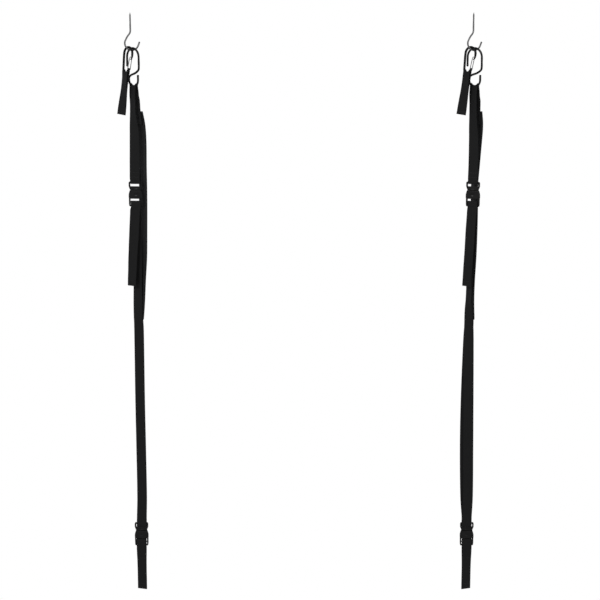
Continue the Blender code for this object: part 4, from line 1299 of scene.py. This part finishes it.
    def pad(self):
        count = 200
        shares = [-1.0, -0.985, -0.95, -0.9, -0.82, -0.74, -0.64, -0.52, -0.38, -0.2, 0.0]
        shares += [-s for s in reversed(shares[:-1])]
        work, layer = new_work()
        rings = []
        held = []
        for step in range(count + 1):
            centre, across, normal, width = self.pad_edge(step, count)
            from_end = min(step, count - step) * (PAD_TOP - PAD_END) / count
            end = smooth(min(1.0, from_end / 26.0))
            half = width / 2
            ring = []
            order = [(s, -1.0) for s in shares] + [(s, 1.0) for s in reversed(shares[1:-1])]
            for share, side in order:
                u = share * half
                height = self.pad_height(u, half, end)
                vertex = work.verts.new((centre + across * u + normal * side * height) * MM)
                vertex[layer] = Vector((u * MM, -centre.z * MM, side))
                pinned = abs(u) > half - BINDING_LAP - 0.4 or from_end < 9.0
                held.append(1.0 if pinned else 0.0)
                ring.append(vertex)
            rings.append(ring)
        size = len(rings[0])
        for upper, lower in zip(rings, rings[1:]):
            for j in range(size):
                k = (j + 1) % size
                work.faces.new((upper[j], upper[k], lower[k], lower[j]))
        last = len(shares) - 1
        for ring in (rings[0], rings[-1]):
            for j in range(last):
                corners = list(dict.fromkeys([ring[j], ring[j + 1], ring[(size - j - 1) % size],
                                              ring[(size - j) % size]]))
                work.faces.new(corners)
        obj = finish_mesh(self.name("shoulder_pad"), work, self.shank, ["packcloth", "thread"])
        self.inflate(obj, held)
        self.channels(obj)
        self.put(obj, "sling", ["pad_face", "pad_backing", "pad_foam"])
        for hand, sign in (("left", -1.0), ("right", 1.0)):
            self.binding(hand, sign)

    @staticmethod
    def inflate(obj, held):
        """Soft swell of the two faces between their sewn edges."""
        mesh = obj.data
        start = [v.co.copy() for v in mesh.vertices]
        group = obj.vertex_groups.new(name="sewn")
        for index, weight in enumerate(held):
            if weight:
                group.add([index], weight, "REPLACE")
        cloth = obj.modifiers.new("swell", "CLOTH")
        settings = cloth.settings
        settings.quality = 6
        settings.mass = 0.25
        settings.tension_stiffness = 12.0
        settings.compression_stiffness = 12.0
        settings.bending_stiffness = 2.0
        settings.use_pressure = True
        settings.uniform_pressure_force = 3.0
        settings.effector_weights.gravity = 0.0
        settings.vertex_group_mass = "sewn"
        settings.pin_stiffness = 1.0
        cloth.collision_settings.use_collision = False
        cloth.point_cache.frame_start = 1
        cloth.point_cache.frame_end = 20
        scene = bpy.context.scene
        for number in range(1, 21):
            scene.frame_set(number)
        moved = obj.evaluated_get(bpy.context.evaluated_depsgraph_get()).to_mesh()
        result = [v.co.copy() for v in moved.vertices]
        obj.evaluated_get(bpy.context.evaluated_depsgraph_get()).to_mesh_clear()
        obj.modifiers.clear()
        limit = 0.7 * MM
        for vertex, before, after in zip(mesh.vertices, start, result):
            shift = after - before
            if shift.length > limit:
                shift *= limit / shift.length
            vertex.co = before + shift
        scene.frame_set(1)
        mesh.update()

    def channels(self, obj):
        """Two sewn channels down the pad and the stitches that make them."""
        mesh = obj.data
        work = bmesh.new()
        work.from_mesh(mesh)
        layer = work.verts.layers.float_vector["strip"]
        work.verts.ensure_lookup_table()
        count = 150
        for line in (-0.42, 0.42):
            for step in range(4, count - 3):
                ends = []
                for share in (step + 0.12, step + 0.86):
                    centre, across, normal, width = self.pad_edge(share, count)
                    u = line * width / 2
                    height = self.pad_height(u, width / 2, 1.0) + 0.1
                    ends.append(self.shank / MM + centre + across * u - normal * height)
                capsule(work, layer, ends[0], ends[1], -normal, 0.24, 1)
        work.to_mesh(mesh)
        work.free()
        mesh.shade_smooth()

    def binding(self, hand, sign):
        """Tape folded round one edge of the pad and sewn through."""
        count = 200
        rows = []
        for step in range(count + 1):
            centre, across, normal, width = self.pad_edge(step, count)
            half = width / 2
            row = []
            for k in range(15):
                t = k / 14 * 2 - 1
                side = -1.0 if t < 0 else 1.0
                reach = abs(t)
                u = half - BINDING_LAP * max(0.0, reach - 0.22) / 0.78
                height = self.pad_height(u, half, 1.0) + BINDING_THICK * 0.5
                if reach < 0.22:
                    angle = reach / 0.22 * math.pi / 2
                    u = half + BINDING_THICK * 0.6 * math.cos(angle)
                    height = (self.pad_height(half - 0.4, half,
                                              1.0) + BINDING_THICK * 0.5) * math.sin(angle)
                row.append(centre + across * sign * u + normal * side * height)
            rows.append(row)
        work, layer = new_work()
        self.band(work, layer, rows, BINDING_THICK)
        stitches = 150
        for step in range(stitches):
            for side in (-1.0, 1.0):
                ends = []
                for share in (step + 0.1, step + 0.84):
                    centre, across, normal, width = self.pad_edge(min(share, stitches), stitches)
                    u = width / 2 - BINDING_LAP * 0.72
                    height = self.pad_height(u, width / 2, 1.0) + BINDING_THICK + 0.02
                    ends.append(centre + across * sign * u + normal * side * height)
                capsule(work, layer, ends[0], ends[1], normal * side, 0.22, 1)
        obj = finish_mesh(self.name("edge_tape_" + hand), work, self.shank, ["tape", "thread"])
        self.put(obj, "sling", ["pad_binding_" + hand])

    @staticmethod
    def band(work, layer, rows, thick):
        """A closed band through rows whose points follow a bent section."""
        normals = []
        for i, row in enumerate(rows):
            low, high = max(i - 1, 0), min(i + 1, len(rows) - 1)
            line = []
            for j in range(len(row)):
                a, b = max(j - 1, 0), min(j + 1, len(row) - 1)
                line.append((row[b] - row[a]).cross(rows[high][j] - rows[low][j]).normalized())
            normals.append(line)
        rings = []
        walked = 0.0
        for i, (row, line) in enumerate(zip(rows, normals)):
            if i:
                walked += (row[7] - rows[i - 1][7]).length
            ring = []
            places = distances(row)
            last = len(row) - 1
            order = [(j, 1.0) for j in range(last + 1)] + [(j, -1.0) for j in range(last, -1, -1)]
            for j, side in order:
                rim = 0.55 if j in (0, last) else 1.0
                vertex = work.verts.new((row[j] + line[j] * side * thick / 2 * rim) * MM)
                vertex[layer] = Vector(((places[j] - places[-1] / 2) * MM, walked * MM, side))
                ring.append(vertex)
            rings.append(ring)
        size = len(rings[0])
        for upper, lower in zip(rings, rings[1:]):
            for j in range(size):
                k = (j + 1) % size
                work.faces.new((upper[j], upper[k], lower[k], lower[j]))
        for ring in (rings[0], rings[-1]):
            for j in range(size // 2 - 1):
                work.faces.new((ring[j], ring[j + 1], ring[size - j - 2], ring[size - j - 1]))

    # ------------------------------------------------------------ buckles

    def buckle(self, level, host):
        place = self.data[level + "_buckle"]
        ear = arc((13.5, -4.0), 4.0, 75, 0, 8)
        half = ear + [(BUCKLE_HALF, -12.0), (16.0, -16.5), (14.6, -19.5), (14.6, MALE_END),
                      (3.0, MALE_END - 0.4), (3.0, -37.5), (1.8, -38.5)]
        steps = [("DIFFERENCE", block((-SLOT_HALF, -5, -12.3), (SLOT_HALF, 5, 5))),
                 ("UNION", bar(BAR_Z, BAR_RADIUS, 14.9)),
                 ("DIFFERENCE", block((-4, 2.2, -45), (4, 5, -21.8))),
                 ("DIFFERENCE", block((-4, -5, -45), (4, -2.2, -21.8))),
                 ("DIFFERENCE", ball((0.0, -5.6, -17.2), (9.0, 3.6, 2.6))),
                 ("DIFFERENCE", ball((0.0, 5.6, -17.2), (9.0, 3.6, 2.6)))]
        male = moulded(self.name(level + "_prong_frame"), place, self.shank,
                       plate(mirrored(half), MALE_THICK), steps)
        self.put(male, host, [level + "_buckle_male"])

        corner = arc((13.3, -59.2), 3.8, -5, -85, 6)
        body = [(14.6, MOUTH_Z), (15.2, -24.0), (16.4, -28.0), (BUCKLE_HALF, -32.5),
                (BUCKLE_HALF, -54.0)]
        shell = body[:4] + [(BUCKLE_HALF, -41.0), (16.2, -42.8)]
        depth = POCKET_DEPTH / 2
        steps = [("UNION", plate(mirrored(shell), RECEIVER_THICK)),
                 ("DIFFERENCE", block((-POCKET_HALF, -depth, POCKET_END),
                                      (POCKET_HALF, depth, 1.0))),
                 ("DIFFERENCE", block((-25.0, -2.6, POCKET_END), (25.0, 2.6, -31.0))),
                 ("DIFFERENCE", block((-SLOT_HALF, -9, -70.0), (SLOT_HALF, 9, -43.4))),
                 ("DIFFERENCE", ball((0.0, -8.2, -32.4), (8.4, 4.2, 6.2))),
                 ("DIFFERENCE", ball((0.0, 8.2, -32.4), (8.4, 4.2, 6.2))),
                 ("UNION", bar(LADDER_BAR[0], LADDER_BAR[1], 15.5)),
                 ("UNION", bar(END_BAR[0], END_BAR[1], 15.5))]
        female = moulded(self.name(level + "_receiver"), place, self.shank,
                         plate(mirrored(body + corner), 6.0), steps)
        self.put(female, level + "_female", [level + "_buckle_female"])

        for hand, sign in (("left", -1.0), ("right", 1.0)):
            root = arc(ARM_PIVOT, 2.0, 180, 0, 6)
            head = arc((12.2, -35.3), 4.9, 0, -80, 8)
            outline = root + [(12.6, -31.2), (16.9, -31.7)] + head + [(9.6, -40.2), (9.2, -34.0)]
            outline = [(sign * x, z) for x, z in outline]
            ribs = [("DIFFERENCE", block((sign * 17.9 - 0.9, -1.9, z - 0.25),
                                         (sign * 17.9 + 0.9, 1.9, z + 0.25)))
                    for z in (-34.4, -35.8, -37.2)]
            arm = moulded(self.name(f"{level}_catch_{hand}"), place, self.shank,
                          plate(outline, ARM_THICK), ribs,
                          0.32, 3)
            self.put(arm, f"{level}_arm_{hand}", [f"{level}_latch_arm_{hand}"])

    def build(self):
        self.screw_hook()
        self.s_hook()
        self.carabiner()
        self.tether()
        self.sling()
        self.pad()
        self.adjuster()
        self.leg()
        self.end()
        self.buckle("upper", "sling")
        self.buckle("lower", "lower_leg")


# ---------------------------------------------------------------- stage

def make_stage():
    white = stage_white()
    work = bmesh.new()
    floor_z = -1.52
    corners = [work.verts.new(p) for p in ((-9, -9, floor_z), (9, -9, floor_z), (9, 9, floor_z),
                                           (-9, 9, floor_z))]
    work.faces.new(corners)
    mesh = bpy.data.meshes.new("studio_floor")
    work.to_mesh(mesh)
    work.free()
    mesh.materials.append(white)
    floor = bpy.data.objects.new("studio_floor", mesh)
    bpy.context.scene.collection.objects.link(floor)
    floor.visible_diffuse = False
    floor.visible_glossy = False
    floor.visible_shadow = False


def area_light(name, location, target, size, power):
    data = bpy.data.lights.new(name, "AREA")
    data.shape = "DISK"
    data.size = size
    data.energy = power
    lamp = bpy.data.objects.new(name, data)
    lamp.location = location
    lamp.rotation_euler = (Vector(target) - Vector(location)).to_track_quat("-Z", "Y").to_euler()
    bpy.context.scene.collection.objects.link(lamp)


SOFT_LIGHT = 0.2


def make_lights():
    bpy.context.scene.view_settings.view_transform = "Standard"
    world = bpy.data.worlds.new("studio")
    bpy.context.scene.world = world
    world.use_nodes = True
    nodes, links = world.node_tree.nodes, world.node_tree.links
    soft = nodes["Background"]
    soft.inputs["Color"].default_value = (1.0, 1.0, 1.0, 1.0)
    soft.inputs["Strength"].default_value = SOFT_LIGHT
    backdrop = nodes.new("ShaderNodeBackground")
    backdrop.inputs["Color"].default_value = (1.0, 1.0, 1.0, 1.0)
    backdrop.inputs["Strength"].default_value = BACKDROP_GLOW
    seen = nodes.new("ShaderNodeLightPath")
    mix = nodes.new("ShaderNodeMixShader")
    links.new(seen.outputs["Is Camera Ray"], mix.inputs[0])
    links.new(soft.outputs[0], mix.inputs[1])
    links.new(backdrop.outputs[0], mix.inputs[2])
    links.new(mix.outputs[0], nodes["World Output"].inputs["Surface"])
    area_light("key", (-2.4, -3.2, 1.8), (0.0, 0.0, -0.6), 1.6, 40.0)
    area_light("fill", (2.8, -2.6, 0.4), (0.0, 0.0, -0.7), 2.0, 16.0)


make_camera()
for strap_side in STRAPS:
    Strap(strap_side).build()
make_stage()
make_lights()
